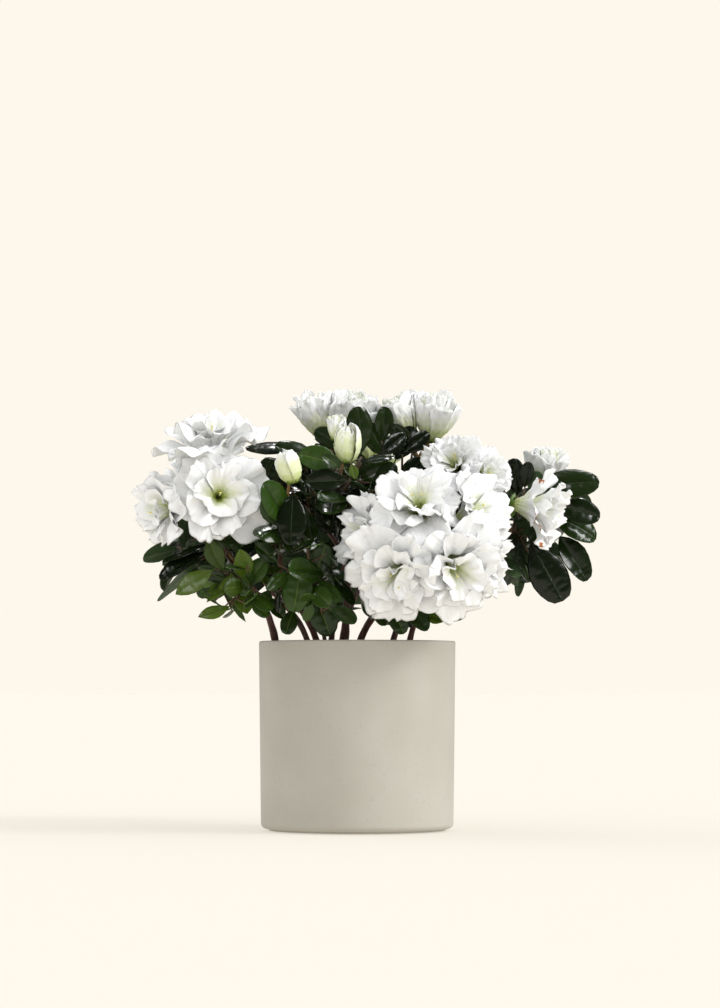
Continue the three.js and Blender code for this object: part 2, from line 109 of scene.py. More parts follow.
def new_material(name, colour, roughness, **more):
    """A material with one Principled shader. Returns it with its tree and the shader."""
    material = bpy.data.materials.new(name)
    material.use_nodes = True
    tree = material.node_tree
    shader = tree.nodes["Principled BSDF"]
    shader.inputs["Base Color"].default_value = linear(colour)
    shader.inputs["Roughness"].default_value = roughness
    for socket, value in more.items():
        shader.inputs[socket.replace("_", " ").title().replace("Ior", "IOR")].default_value = value
    return material, tree, shader


def stoneware():
    """Unglazed stoneware: fine sand under a dry, slightly cloudy clay body. It shines only at a low angle."""
    material, tree, shader = new_material(
        "unglazed_stoneware", STONEWARE["body"], STONEWARE["roughness"], ior=STONEWARE["ior"]
    )
    place = add_node(tree, "ShaderNodeTexCoord").outputs["Object"]

    def grain(size, detail):
        scale = 1 / (size * MM)
        return add_node(tree, "ShaderNodeTexNoise", {"Scale": scale, "Detail": detail}, {"Vector": place})

    cloud = grain(GRAIN["cloud"], 3)
    ramp = add_node(tree, "ShaderNodeValToRGB", links={"Fac": cloud.outputs["Fac"]})
    clay = ramp.color_ramp.elements
    clay[0].position, clay[0].color = 0.3, linear(STONEWARE["dark"])
    clay[1].position, clay[1].color = 0.7, linear(STONEWARE["body"])
    specks = grain(GRAIN["speck"], 1).outputs["Fac"]
    spots = add_node(tree, "ShaderNodeMapRange", {"From Min": 0.66, "From Max": 0.74}, {"Value": specks})
    mixed = add_node(tree, "ShaderNodeMixRGB", {"Color2": linear(STONEWARE["speck"])})
    tree.links.new(spots.outputs["Result"], mixed.inputs["Fac"])
    tree.links.new(ramp.outputs["Color"], mixed.inputs["Color1"])
    tree.links.new(mixed.outputs["Color"], shader.inputs["Base Color"])
    sand = grain(GRAIN["sand"], 4).outputs["Fac"]
    bump = add_node(tree, "ShaderNodeBump", {"Strength": 0.35, "Distance": 0.25 * MM}, {"Height": sand})
    tree.links.new(bump.outputs["Normal"], shader.inputs["Normal"])
    return material


def make_piece(name, points, faces, materials, slots=None, span=None):
    """A smooth mesh from points in millimetres. span is a vector for each point that a finish may read."""
    mesh = bpy.data.meshes.new(name)
    mesh.from_pydata((np.asarray(points, float) * MM).tolist(), [], faces)
    for material in materials:
        mesh.materials.append(material)
    if slots is not None:
        mesh.polygons.foreach_set("material_index", np.asarray(slots, np.int32))
    mesh.polygons.foreach_set("use_smooth", np.ones(len(mesh.polygons), bool))
    if span is not None:
        attribute = mesh.attributes.new("span", "FLOAT_VECTOR", "POINT")
        attribute.data.foreach_set("vector", np.asarray(span, np.float32).ravel())
    mesh.update()
    piece = bpy.data.objects.new(name, mesh)
    bpy.context.scene.collection.objects.link(piece)
    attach(piece, "root")
    return piece


def turned(outline, sides):
    """Points and faces of an outline of (radius, height) turned round Z. It starts and ends on the axis."""
    turn = np.arange(sides) * 2 * math.pi / sides
    rings = outline[1:-1]
    points = [(0, 0, outline[0][1]), (0, 0, outline[-1][1])]
    for radius, height in rings:
        points += [(radius * math.cos(a), radius * math.sin(a), height) for a in turn]
    faces = []
    for i in range(sides):
        j = (i + 1) % sides
        faces.append((0, 2 + j, 2 + i))
        for r in range(len(rings) - 1):
            low, high = 2 + r * sides, 2 + (r + 1) * sides
            faces.append((low + i, low + j, high + j, high + i))
        last = 2 + (len(rings) - 1) * sides
        faces.append((last + i, last + j, 1))
    return points, faces


def corner(x, y, radius, start, end, steps=6):
    """A round corner of an outline, from angle start to angle end."""
    angles = np.radians(np.linspace(start, end, steps + 1))
    return [(x + radius * math.cos(a), y + radius * math.sin(a)) for a in angles]


low, high = (np.array(c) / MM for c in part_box("pot"))
pot_radius, pot_height = (high[0] - low[0]) / 2, high[2]
pot_bottom = pot_radius - POT["taper"]
inner, lip = pot_radius - POT["wall"], POT["rim_curve"]
foot, edge, curve = FOOT["radius"], FOOT["edge"], FOOT["curve"]
outline = [
    (0, 0),
    (foot - 2 * edge, 0),
    *corner(foot - edge, edge, edge, -90, 0, 2),
    (foot, FOOT["height"]),
    *corner(pot_bottom - curve, FOOT["height"] + curve, curve, -90, 0, 10),
    *corner(pot_radius - lip, pot_height - lip, lip, 0, 90),
    *corner(inner + lip, pot_height - lip, lip, 90, 180),
    (inner, POT["floor"]),
    (0, POT["floor"]),
]
pot = make_piece("stoneware_pot", *turned(outline, POT["sides"]), [stoneware()])
pot.data.set_sharp_from_angle(angle=math.radians(POT["crease"]))
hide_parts("pot")

# ---------- potting soil ----------
# A peat and bark mix, filled to a finger's width under the rim and settled by watering. It is a rough
# dark surface with loose crumbs and flakes of bark lying on it.

SOIL = {"rise": 1.6, "lump": 9, "grit": 2.2, "rough": 0.6, "rings": 46, "sides": 150, "crease": 40}

# Loose pieces: most are crumbs or flakes of bark, and one in fourteen is pale. Each kind is so many times
# as long and as thick as its size. They lie a little tilted and partly sunk, and stay clear of the wall.
CRUMBS = {"count": 620, "seed": 11, "kinds": 2.15, "size": (0.7, 2.4), "uneven": (0.7, 1.1)}
LYING = {"clear": 3, "tilt": (0.5, 0.4), "raised": 0.4}
SHAPES = {"crumb": (1.2, 0.8), "flake": (2.2, 0.35)}
MIX = {"peat": "#2c2019", "crumb": "#3d2b20", "bark": "#5b4230", "pale": "#8a7a66"}


def seeded(seed):
    """Random numbers from 0 to 1 that are the same in every run."""
    state = [seed]

    def random():
        state[0] = (state[0] + 0x6D2B79F5) & 0xFFFFFFFF
        s = state[0]
        t = ((s ^ (s >> 15)) * (1 | s)) & 0xFFFFFFFF
        t = ((t + (t ^ (t >> 7)) * (61 | t)) & 0xFFFFFFFF) ^ t
        return (t ^ (t >> 14)) / 2**32

    return random


def mix(a, b, t):
    return a + (b - a) * t


def potting_mix(name, colour):
    """Moist peat: almost black in the hollows, dull brown on top, with no shine."""
    material, tree, shader = new_material(name, colour, 0.95)
    place = add_node(tree, "ShaderNodeTexCoord").outputs["Object"]
    grit = add_node(tree, "ShaderNodeTexNoise", {"Scale": 1 / (1.2 * MM), "Detail": 5}, {"Vector": place})
    height = {"Height": grit.outputs["Fac"]}
    bump = add_node(tree, "ShaderNodeBump", {"Strength": 0.8, "Distance": 0.5 * MM}, height)
    tree.links.new(bump.outputs["Normal"], shader.inputs["Normal"])
    return material


def lumps(x, y):
    """The height of the mix over its lowest hollows: broad lumps with grit on them."""
    broad = noise.noise(Vector((x / SOIL["lump"], y / SOIL["lump"], 1)))
    grit = noise.noise(Vector((x / SOIL["grit"], y / SOIL["grit"], 7)))
    return min(broad + grit * SOIL["rough"], 1) * SOIL["rise"]


soil_low, soil_high = (np.array(c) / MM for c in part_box("potting_soil"))
soil_edge, soil_top = soil_high[0], soil_high[2]
ground = soil_top - SOIL["rise"]
outline = [(0, soil_low[2]), (soil_edge, soil_low[2])]
outline += [(soil_edge * k / SOIL["rings"], ground) for k in range(SOIL["rings"], 0, -1)] + [(0, ground)]
points, faces = turned(outline, SOIL["sides"])
points = [(x, y, z + lumps(x, y) if z == ground else z) for x, y, z in points]
slots = [0] * len(faces)

random = seeded(CRUMBS["seed"])
octahedron = [(0, 2, 4), (2, 1, 4), (1, 3, 4), (3, 0, 4), (2, 0, 5), (1, 2, 5), (3, 1, 5), (0, 3, 5)]
for k in range(CRUMBS["count"]):
    radius = (soil_edge - LYING["clear"]) * math.sqrt(random())
    a = random() * 2 * math.pi
    size = mix(*CRUMBS["size"], random() ** 3)
    kind = 1 + int(random() * CRUMBS["kinds"])
    long, flat = (size * share for share in SHAPES["flake" if list(MIX)[kind] == "bark" else "crumb"])
    turn = random() * math.pi
    x, y = radius * math.cos(a), radius * math.sin(a)
    ahead = np.array((math.cos(turn), math.sin(turn), random() * LYING["tilt"][0])) * long
    aside = np.array((-math.sin(turn), math.cos(turn), random() * LYING["tilt"][1])) * size
    up = np.array((0, 0, flat))
    base = len(points)
    middle = np.array((x, y, ground + lumps(x, y) + flat * LYING["raised"]))
    corners = (ahead, -ahead, aside, -aside, up, -up)
    points += [tuple(middle + p * mix(*CRUMBS["uneven"], random())) for p in corners]
    faces += [tuple(base + i for i in f) for f in octahedron]
    slots += [kind] * len(octahedron)
mixes = [potting_mix(f"potting_mix_{n}", colour) for n, colour in MIX.items()]
soil = make_piece("potting_mix", points, faces, mixes, slots)
soil.data.set_sharp_from_angle(angle=math.radians(SOIL["crease"]))
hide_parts("potting_soil")

# ---------- stems and boughs ----------
# Ten bare woody stems rise from the mix and fork into boughs, one for each leafy head. The bark is thin,
# red-brown and finely cracked along the stem, and the wood swells a little at old leaf scars.

BEND = 0.45  # how far a limb keeps its first direction, as a share of its length
FLARE = {"widen": 0.35, "quick": 4}  # a stem's foot is wider over its lowest quarter
BOUGH = {"share": 0.7, "single": 0.95, "paired": 0.66, "tip": 1.5, "sunk": 1.5, "apart": 0.8}
LIMB = {"sides": 14, "step": 1.8, "swell": 0.14, "swell_length": 14, "swell_seed": 7.3}
CRACK = {"depth": 0.12, "width": 1.1, "length": 6}
BARK = {"ridge": "#7a4f3f", "face": "#5d3a2e", "crack": "#33201a", "length": 9, "width": 0.9}

# Each stem: the middle of its foot, its fork, and its radius at both ends.
STEMS = {
    "stem_left": ((-57, -6), (-64, -8, 154), (2.8, 2.3)),
    "stem_left_front": ((-27, -14), (-46, -22, 164), (2.6, 2.1)),
    "stem_slender": ((-22, -25), (-37, -36, 178), (1.6, 1.2)),
    "stem_left_back": ((-34, 20), (-54, 40, 162), (2.4, 2.0)),
    "stem_middle": ((-9, -3), (-6, -4, 176), (3.0, 2.5)),
    "stem_middle_left": ((-19, 7), (-11, 12, 180), (2.2, 1.8)),
    "stem_middle_back": ((-12, 24), (0, 42, 170), (2.2, 1.8)),
    "stem_right_front": ((0, -12), (24, -22, 164), (2.7, 2.2)),
    "stem_right": ((36, -4), (50, -4, 166), (2.3, 1.9)),
    "stem_right_back": ((24, 22), (40, 38, 162), (2.4, 2.0)),
}

# Each head: its stem, the middle of its space, the way it faces as (bearing, rise), its number of shoots,
# how far they spread, and its leaf length.
HEAD_VALUES = ("stem", "at", "faces", "shoots", "spread", "leaf")
HEAD_ROWS = {
    "left": ("stem_left", (-98, -18, 206), (-60, 20), 5, 29, 38),
    "low_left": ("stem_left", (-82, -48, 180), (-60, 15), 6, 30, 30),
    "front_left": ("stem_left_front", (-56, -56, 212), (-20, 25), 6, 22, 36),
    "low_front": ("stem_slender", (-30, -62, 172), (-20, 5), 4, 28, 36),
    "top_front": ("stem_middle_left", (-16, -48, 236), (-10, 40), 7, 24, 36),
    "top_left": ("stem_middle", (-36, 4, 238), (-50, 60), 6, 27, 40),
    "top_right": ("stem_middle", (36, 4, 234), (20, 60), 6, 22, 36),
    "front": ("stem_right_front", (32, -48, 176), (5, -5), 5, 36, 38),
    "right_front": ("stem_right", (80, -24, 220), (30, 30), 6, 24, 36),
    "far_right": ("stem_right", (118, -16, 218), (60, 0), 3, 24, 40),
    "right_back": ("stem_right_back", (106, 46, 210), (110, 30), 5, 34, 44),
    "back_right": ("stem_right_back", (56, 80, 190), (150, 15), 5, 36, 46),
    "top_back": ("stem_middle_back", (-2, 56, 230), (180, 45), 6, 26, 40),
    "back": ("stem_left_back", (-26, 84, 184), (190, 10), 6, 36, 46),
    "left_back": ("stem_left_back", (-90, 46, 210), (-110, 20), 5, 36, 46),
}
HEADS = {name: dict(zip(HEAD_VALUES, row)) for name, row in HEAD_ROWS.items()}


def unit(v):
    v = np.asarray(v, float)
    return v / np.linalg.norm(v)


def square_to(axis):
    """Two unit vectors square to axis: the first lies level, the second points as far up as it can."""
    level = np.array((-axis[1], axis[0], 0.0))
    level = unit(level) if level @ level > 1e-6 else np.array((1.0, 0, 0))
    return level, unit(np.cross(axis, level))


def limb_curve(start, along, end):
    """The three control points of a limb that leaves start along a direction and arrives at end."""
    start, end = np.asarray(start, float), np.asarray(end, float)
    return np.array((start, start + along * np.linalg.norm(end - start) * BEND, end))


def on_curve(curve, t):
    a, b, c = curve
    return a * (1 - t) ** 2 + b * 2 * t * (1 - t) + c * t * t


def tangent(curve, t):
    a, b, c = curve
    return unit((b - a) * (1 - t) + (c - b) * t)


class Joined:
    """Many small shapes gathered into one mesh, each face with its material slot."""

    def __init__(self):
        self.points, self.faces, self.slots, self.span, self.count = [], [], [], [], 0

    def add(self, shape, slots=0):
        points, faces, span = shape
        self.points.append(points)
        self.faces += [tuple(i + self.count for i in f) for f in faces]
        self.slots += list(slots) if np.ndim(slots) else [slots] * len(faces)
        self.span.append(span)
        self.count += len(points)

    def join(self, other):
        self.points += other.points
        self.span += other.span
        self.slots += other.slots
        self.faces += [tuple(i + self.count for i in f) for f in other.faces]
        self.count += other.count

    def piece(self, name, materials):
        points, span = np.concatenate(self.points), np.concatenate(self.span)
        return make_piece(name, points, self.faces, materials, self.slots, span)

    def tree(self):
        return BVHTree.FromPolygons(np.concatenate(self.points).tolist(), self.faces)


def tube(curve, radii, sides, step, mark=0.0, relief=None):
    """A closed tube along a curve, without a twist, as points, faces and span. relief widens its rings."""
    length = np.linalg.norm(curve[2] - curve[0])
    rings = max(round(length / step), 1) + 1
    side = square_to(tangent(curve, 0.5))[0]
    turn = np.arange(sides) * 2 * math.pi / sides
    points, span = [], []
    for t in np.linspace(0, 1, rings):
        along = tangent(curve, t)
        u = unit(side - along * (side @ along))
        v = np.cross(along, u)
        radius = mix(*radii, t)
        girth = radius * (relief(turn, t * length, radius) if relief else np.ones(sides))
        across = on_curve(curve, t) + np.outer(np.cos(turn) * girth, u)
        points.append(across + np.outer(np.sin(turn) * girth, v))
        span.append(np.stack((turn * radius, np.full(sides, t * length), np.full(sides, mark)), 1))
    points.append(curve[[0, 2]])
    span.append(np.zeros((2, 3)))
    faces, foot, last = [], rings * sides, (rings - 1) * sides
    for i in range(sides):
        j = (i + 1) % sides
        faces += [(r + i, r + j, r + sides + j, r + sides + i) for r in range(0, last, sides)]
        faces += [(foot, j, i), (foot + 1, last + i, last + j)]
    return np.concatenate(points), faces, np.concatenate(span)


def stem_curve(name):
    foot, fork, _ = STEMS[name]
    return limb_curve((*foot, ground), np.array((0, 0, 1.0)), fork)


def bough_radii(head):
    shared = sum(h["stem"] == head["stem"] for h in HEADS.values()) > 1
    return STEMS[head["stem"]][2][1] * BOUGH["paired" if shared else "single"], BOUGH["tip"]


def bough_curve(head):
    """The bough that carries a head. Boughs that share a fork leave it side by side."""
    fork = np.array(STEMS[head["stem"]][1], float)
    along = tangent(stem_curve(head["stem"]), 1)
    sharing = [h for h in HEADS.values() if h["stem"] == head["stem"]]
    start = fork - along * BOUGH["sunk"]
    if len(sharing) > 1:
        aside = np.array(head["at"]) * len(sharing) - sum(np.array(h["at"]) for h in sharing)
        aside = unit(aside - along * (aside @ along))
        start = start + aside * bough_radii(head)[0] * BOUGH["apart"]
    return limb_curve(start, along, mix(fork, np.array(head["at"]), BOUGH["share"]))


def raised(tree, shader, grain, strength, depth, pattern="ShaderNodeTexNoise", **look):
    """Raises a skin in a pattern laid along it: its grain across and along, and its depth, are in mm."""
    span = add_node(tree, "ShaderNodeAttribute", {"attribute_name": "span"}).outputs["Vector"]
    laid = add_node(tree, "ShaderNodeMapping", {"Scale": (1 / grain[0], 1 / grain[1], 1)}, {"Vector": span})
    drawn = add_node(tree, pattern, {"Scale": 1, **look}, {"Vector": laid.outputs["Vector"]})
    height = {"Height": drawn.outputs[0]}
    bump = add_node(tree, "ShaderNodeBump", {"Strength": strength, "Distance": depth * MM}, height)
    tree.links.new(bump.outputs["Normal"], shader.inputs["Normal"])
    return drawn


def bark():
    """Thin bark: red-brown plates between fine dark cracks that run along the stem. It has a dull shine."""
    material, tree, shader = new_material("azalea_bark", BARK["face"], 0.6)
    cracks = raised(tree, shader, (BARK["width"], BARK["length"]), 0.8, 0.25, Detail=4, Roughness=0.6)
    ramp = add_node(tree, "ShaderNodeValToRGB", links={"Fac": cracks.outputs["Fac"]})
    ramp.color_ramp.elements[0].position = 0.36
    ramp.color_ramp.elements[0].color = linear(BARK["crack"])
    ramp.color_ramp.elements[1].position = 0.72
    ramp.color_ramp.elements[1].color = linear(BARK["ridge"])
    middle = ramp.color_ramp.elements.new(0.5)
    middle.color = linear(BARK["face"])
    tree.links.new(ramp.outputs["Color"], shader.inputs["Base Color"])
    return material


def bark_relief(seed, flare=0.0, length=1.0):
    """Swellings at old leaf scars, ridges between the cracks, and the flare of a stem's foot."""

    def relief(turn, along, radius):
        scar = Vector((seed * LIMB["swell_seed"], along / LIMB["swell_length"], 0))
        swell = noise.noise(scar) * LIMB["swell"]
        widen = flare * (1 - min(FLARE["quick"] * along / length, 1)) ** 2
        up = along / CRACK["length"] + seed
        places = [Vector((math.cos(a) * radius, math.sin(a) * radius, up)) / CRACK["width"] for a in turn]
        cracks = np.array([noise.noise(place) for place in places])
        return (1 + widen) * (1 + swell + cracks * CRACK["depth"])

    return relief


wood = Joined()
for k, (name, (_, fork, radii)) in enumerate(STEMS.items()):
    curve = stem_curve(name)
    relief = bark_relief(k, FLARE["widen"], np.linalg.norm(curve[2] - curve[0]))
    wood.add(tube(curve, radii, LIMB["sides"], LIMB["step"], k, relief))
for k, head in enumerate(HEADS.values(), len(STEMS)):
    wood.add(tube(bough_curve(head), bough_radii(head), LIMB["sides"], LIMB["step"], k, bark_relief(k)))
limbs = wood.piece("bark", [bark()])
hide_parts(*STEMS, *(f"bough_{name}" for name in HEADS))

# ---------- flowers ----------
# Ruffled double flowers in tight trusses, each flower on its own short stalk from the heart of its truss.
# A flower is a green-throated funnel of five broad frilled petals, five more set between them, and a few
# small ones crowding the middle in front of the anthers. Petals are thin, soft and faintly veined.

SEED = 101  # the first seed of the flowers and of the leaves
PETAL = {"rows": 14, "rim": 0.97, "crowd": 0.8, "thick": 0.3, "corner": 0.24, "lap": 1.2, "half": (38, 48)}
THROAT = 0.006  # the nearest that a petal comes to its flower's axis, as a share of the width
PETAL_COLUMNS = {"outer": 35, "second": 27, "inner": 19}
SMALL = 26  # a flower no wider than this has as few columns on every petal as on an inner one
RUFFLE = {"size": 0.042, "frill": 1.6, "frills": 12, "scallop": 0.014, "crinkle": 0.5, "full": 48}
STALK = {"base": 1.2, "tip": 1.1, "sides": 8, "step": 3, "aside": 1.4, "nearer": 0.6}
FLOWER_STALK = {"radii": (0.8, 1.3), "least": 1}
STAMEN = {"count": 2, "length": (0.7, 1.1), "reach": 0.24, "lean": 20, "radius": 0.22, "sides": 4, "step": 6}
STAMENS_SHOW = 0.6  # how far a flower has opened when they do
ANTHER = {"radius": 0.55, "length": 1.9, "lean": 0.8, "thin": 0.25, "sides": 6, "step": 0.5}
SEPAL = {"count": 5, "length": 0.07, "least": 3.2, "half": 0.6, "grid": (5, 6)}
SEPALS_APART = 1.2566  # radians
SEPAL_LINE = ((0.0, 0.0), (0.9, 0.1), (1.3, 0.5), (1.1, 1.2))

# The whorls of a flower: how many petals and how wide. The inner one has up to one more. Each petal is
# turned (in radians) and leant a little either way, and grows to its own size and width.
PLAN = (("outer", 5, 1.0), ("second", 5, 0.95), ("inner", 4, 1.25))
LOOSELY = {"turn": 0.3, "lean": 16, "size": (0.9, 1.05), "half": (0.85, 1.12)}

# A petal's middle line runs from throat to tip as a curve through four guide points, (radius, height) from
# the flower's middle as shares of its width. Each whorl's line changes as the flower opens from 0 to 1.
OPENING = (0, 0.3, 0.65, 1)
WHORLS = {
    "outer": (
        ((0.05, -0.5), (0.62, -0.3), (0.62, 0.8), (0.05, 1.2)),
        ((0.03, -0.42), (0.52, -0.3), (0.42, 0.3), (0.5, 0.64)),
        ((0.03, -0.32), (0.2, 0.0), (0.42, 0.2), (0.5, 0.4)),
        ((0.03, -0.32), (0.06, -0.05), (0.24, 0.14), (0.53, 0.08)),
    ),
    "second": (
        ((0.05, -0.45), (0.5, -0.2), (0.5, 0.8), (0.04, 1.15)),
        ((0.03, -0.35), (0.36, -0.1), (0.34, 0.35), (0.4, 0.76)),
        ((0.03, -0.25), (0.14, 0.0), (0.28, 0.25), (0.34, 0.46)),
        ((0.03, -0.25), (0.07, 0.0), (0.18, 0.22), (0.4, 0.23)),
    ),
    "inner": (
        ((0.03, -0.4), (0.3, -0.1), (0.3, 0.7), (0.03, 1.05)),
        ((0.02, -0.2), (0.2, 0.1), (0.24, 0.4), (0.22, 0.8)),
        ((0.015, -0.12), (0.08, 0.1), (0.14, 0.25), (0.2, 0.42)),
        ((0.012, -0.12), (0.07, 0.04), (0.09, 0.22), (0.24, 0.27)),
    ),
}

# The tones from the green heart to the white rim, and where along a petal each gives way to the next on
# a bud, on a cup and on an open flower. The innermost petals stay green further up, except in a bud.
TONES = ("#aebf62", "#c6d27a", "#d8e2a2", "#e4ebc0", "#edf1d8", "#f2f4ea", "#f6f7f7")
TONE_ENDS = {
    0: (0, 0.14, 0.42, 0.72, 0.92, 1.0),
    0.3: (0.12, 0.29, 0.44, 0.57, 0.69, 0.82),
    1: (0.06, 0.13, 0.21, 0.3, 0.39, 0.51),
}
HEART = {"greener": 1.45, "bud": 0.1}

# The other parts: colour, roughness, and the size of their grain across and along.
PARTS = {
    "sepal": ("#6f8f3a", 0.5, (0.8, 3)),
    "flower_stalk": ("#8b6a3e", 0.6, (0.6, 3)),
    "filament": ("#e9edc9", 0.5, (0.4, 2)),
    "anther": ("#dcd27a", 0.6, (0.4, 0.4)),
    "petal_spot": ("#a4602f", 0.8, (1, 2)),
}
SLOT = {name: len(TONES) + k for k, name in enumerate(PARTS)}
SPOT = {"head": "far_right", "deep": 0.12, "wide": 0.22, "aside": (-0.7, 1.4)}  # withered marks on rims

# A flower's width at first and at least, as a share of its own. It shrinks, and sinks back, until it lies
# inside the plant's box.
FIT = {"first": 1.05, "least": 0.7, "step": -0.02, "sink": 0.3, "seed": 200, "head_seed": 10}

# Each truss: its heart, how open its flowers are (0 for buds), and a (bearing, rise, reach, width) for
# each. Where that list is empty, they stand one by one in SINGLE.
TRUSSES = {
    "left": ((-101, -26, 231), 1, [(8, 4, 38, 68), (-56, -8, 40, 70), (-8, 70, 39, 80)]),
    "front_left": ((-47, -72, 244), 0, []),
    "top_front": ((-9, -54, 261), 0, []),
    "top_left": ((-16, 6, 264), 0.3, []),
    "top_right": ((44, 4, 264), 0.3, []),
    "front": (
        (46, -60, 204),
        1,
        [
            (-62, 2, 40, 62), (-24, -30, 47, 72), (26, -26, 47, 74),
            (-6, 30, 42, 62), (50, 22, 44, 60), (66, -22, 44, 58),
        ],
    ),
    "right_front": ((79, -32, 246), 0.6, []),
    "far_right": ((104, -38, 224), 0.75, []),
    "right_back": ((137, 22, 248), 0.4, []),
    "back_right": ((62, 82, 214), 1, [(158, -8, 38, 60), (95, 8, 36, 58), (140, 62, 36, 58)]),
    "top_back": ((14, 58, 256), 0.5, [(150, 62, 22, 38), (-140, 60, 22, 38)]),
    "back": ((-24, 82, 208), 1, [(182, -16, 38, 60), (228, 26, 38, 58)]),
    "left_back": ((-92, 46, 236), 0.9, [(-110, 5, 34, 60), (-140, 58, 34, 58)]),
}

# Flowers that stand on their own stalks in a small truss: middle, (bearing, rise), width, how open.
SINGLE = {
    "top_left": [((-27, 2, 290), (-50, 66), 38, 0.52), ((-5, 4, 291), (50, 66), 38, 0.52)],
    "top_right": [((33, 2, 290), (-70, 62), 36, 0.52), ((54, 0, 289), (35, 72), 36, 0.48)],
    "top_front": [((-7, -62, 265), (15, 78), 16, 0.04), ((-14, -54, 279), (-35, 72), 14, 0.28)],
    "front_left": [((-46, -74, 249), (-75, 72), 15, 0.09)],
    "right_front": [((69, -42, 257), (-20, 22), 43, 0.9), ((88, -40, 249), (34, 12), 36, 0.86)],
    "far_right": [((124, -44, 227), (72, -8), 55, 0.86)],
    "right_back": [((136, 20, 255), (30, 72), 31, 0.5)],
}


def facing(bearing, rise):
    """A unit vector from a bearing and a rise. Bearing 0 is the front and 90 the right."""
    b, r = math.radians(bearing), math.radians(rise)
    return np.array((math.sin(b) * math.cos(r), -math.cos(b) * math.cos(r), math.sin(r)))


def leaning(axis, tilt, turn):
    """The direction that leans off axis by tilt, towards turn round it."""
    u, v = square_to(axis)
    out = u * math.cos(math.radians(turn)) + v * math.sin(math.radians(turn))
    return axis * math.cos(math.radians(tilt)) + out * math.sin(math.radians(tilt))


def two_faced(grid, thick):
    """A thin closed sheet from a grid of points: a front and a back that share the grid's four edges."""
    rows, columns = grid.shape[:2]
    normals = np.cross(np.gradient(grid, axis=0), np.gradient(grid, axis=1))
    normals /= np.maximum(np.linalg.norm(normals, axis=2, keepdims=True), 1e-9)
    front = np.arange(rows * columns).reshape(rows, columns)
    back = front.copy()
    back[1:-1, 1:-1] = rows * columns + np.arange((rows - 2) * (columns - 2)).reshape(rows - 2, columns - 2)
    behind = (grid - normals * thick)[1:-1, 1:-1].reshape(-1, 3)
    faces = [
        np.stack((front[:-1, :-1], front[1:, :-1], front[1:, 1:], front[:-1, 1:]), -1).reshape(-1, 4),
        np.stack((back[:-1, :-1], back[:-1, 1:], back[1:, 1:], back[1:, :-1]), -1).reshape(-1, 4),
    ]
    return np.concatenate((grid.reshape(-1, 3), behind)), np.concatenate(faces).tolist()


def both_sides(values):
    """A value for each point of a two-faced sheet from a grid of values."""
    inside = values[1:-1, 1:-1]
    return np.concatenate((values.reshape(-1, values.shape[-1]), inside.reshape(-1, values.shape[-1])))


def whorl_line(whorl, opened):
    """The four guide points of a whorl's petals for how far the flower has opened."""
    stages = np.array(WHORLS[whorl])
    return np.array([[np.interp(opened, OPENING, stages[:, i, j]) for j in (0, 1)] for i in range(4)])


def petal_grid(line, turn, half, width, random, shape):
    """The radius, height and angle of a grid of points over a petal, with broad folds and a frilled rim.

    Radius and height are shares of the flower's width. The places across and along come with them.
    """
    rows, columns = shape
    along = np.append(np.linspace(0, 1, rows - 1) ** PETAL["crowd"] * PETAL["rim"], 1)
    side = np.concatenate(([-1], np.linspace(-PETAL["rim"], PETAL["rim"], columns - 2), [1]))
    across, along = np.meshgrid(side, along)
    phase = [random() * 2 * math.pi for _ in range(8)]

    # The rim ripples unevenly, as three waves of different length round the petal.
    round_rim = np.arctan2(across, along - 0.45)
    ripple = np.sin(RUFFLE["frills"] * round_rim + phase[0] + 1.8 * np.sin(3 * round_rim + phase[1]))
    ripple += 0.35 * np.sin(RUFFLE["frills"] * 1.7 * round_rim + phase[2])
    ripple *= 0.75 + 0.45 * np.sin(2.3 * round_rim + phase[5])
    outline = 1 - PETAL["corner"] * np.abs(across) ** 2.6 + RUFFLE["scallop"] * ripple
    outline += 0.03 * np.sin(across * 4.2 + phase[3])
    t = np.clip(along * outline, 0, 1.06)[..., None]

    # The middle line, and the direction square to it that the petal is raised in.
    a, b, c, d = line
    middle = a * (1 - t) ** 3 + b * 3 * t * (1 - t) ** 2 + c * 3 * t * t * (1 - t) + d * t**3
    slope = (b - a) * (1 - t) ** 2 + (c - b) * 2 * t * (1 - t) + (d - c) * t * t
    slope /= np.linalg.norm(slope, axis=2, keepdims=True)
    face = np.stack((-slope[..., 1], slope[..., 0]), -1)

    # Broad folds grow from the throat outwards, and the frill only near the tip and the sides.
    grown = np.clip((t[..., 0] - 0.3) / 0.7, 0, 1) ** 1.2
    folds = np.sin(2.0 * across * math.pi + phase[4])
    folds += 0.5 * np.sin(3.7 * across * math.pi + phase[5] + along * 2)
    folds += 0.7 * np.sin(along * 4.5 + across * 2.2 + phase[6])
    off_tip = 1 - np.clip((along - 0.7) / 0.3, 0, 1) ** 1.7
    off_sides = 1 - np.clip((np.abs(across) - 0.75) / 0.25, 0, 1) ** 1.3
    rim = 1 - off_tip * off_sides
    scaled = min(width / RUFFLE["full"], 1)
    folded = RUFFLE["size"] * mix(0.6, 1.25, random()) * scaled
    lift = folds * folded * grown + PETAL["lap"] / width * across * along
    lift += RUFFLE["frill"] * scaled**1.4 / width * ripple * rim * grown
    crinkle = RUFFLE["crinkle"] / width * np.sin(across * 15 + along * 6 + phase[7])
    lift += crinkle * np.sin(along * 19 + phase[1])
    radius = np.maximum(middle[..., 0] + face[..., 0] * lift, THROAT)
    height = middle[..., 1] + face[..., 1] * lift
    angle = turn + np.radians(mix(*PETAL["half"], along) * half) * across * (1 + 0.04 * ripple * rim)
    return radius, height, angle, across, along


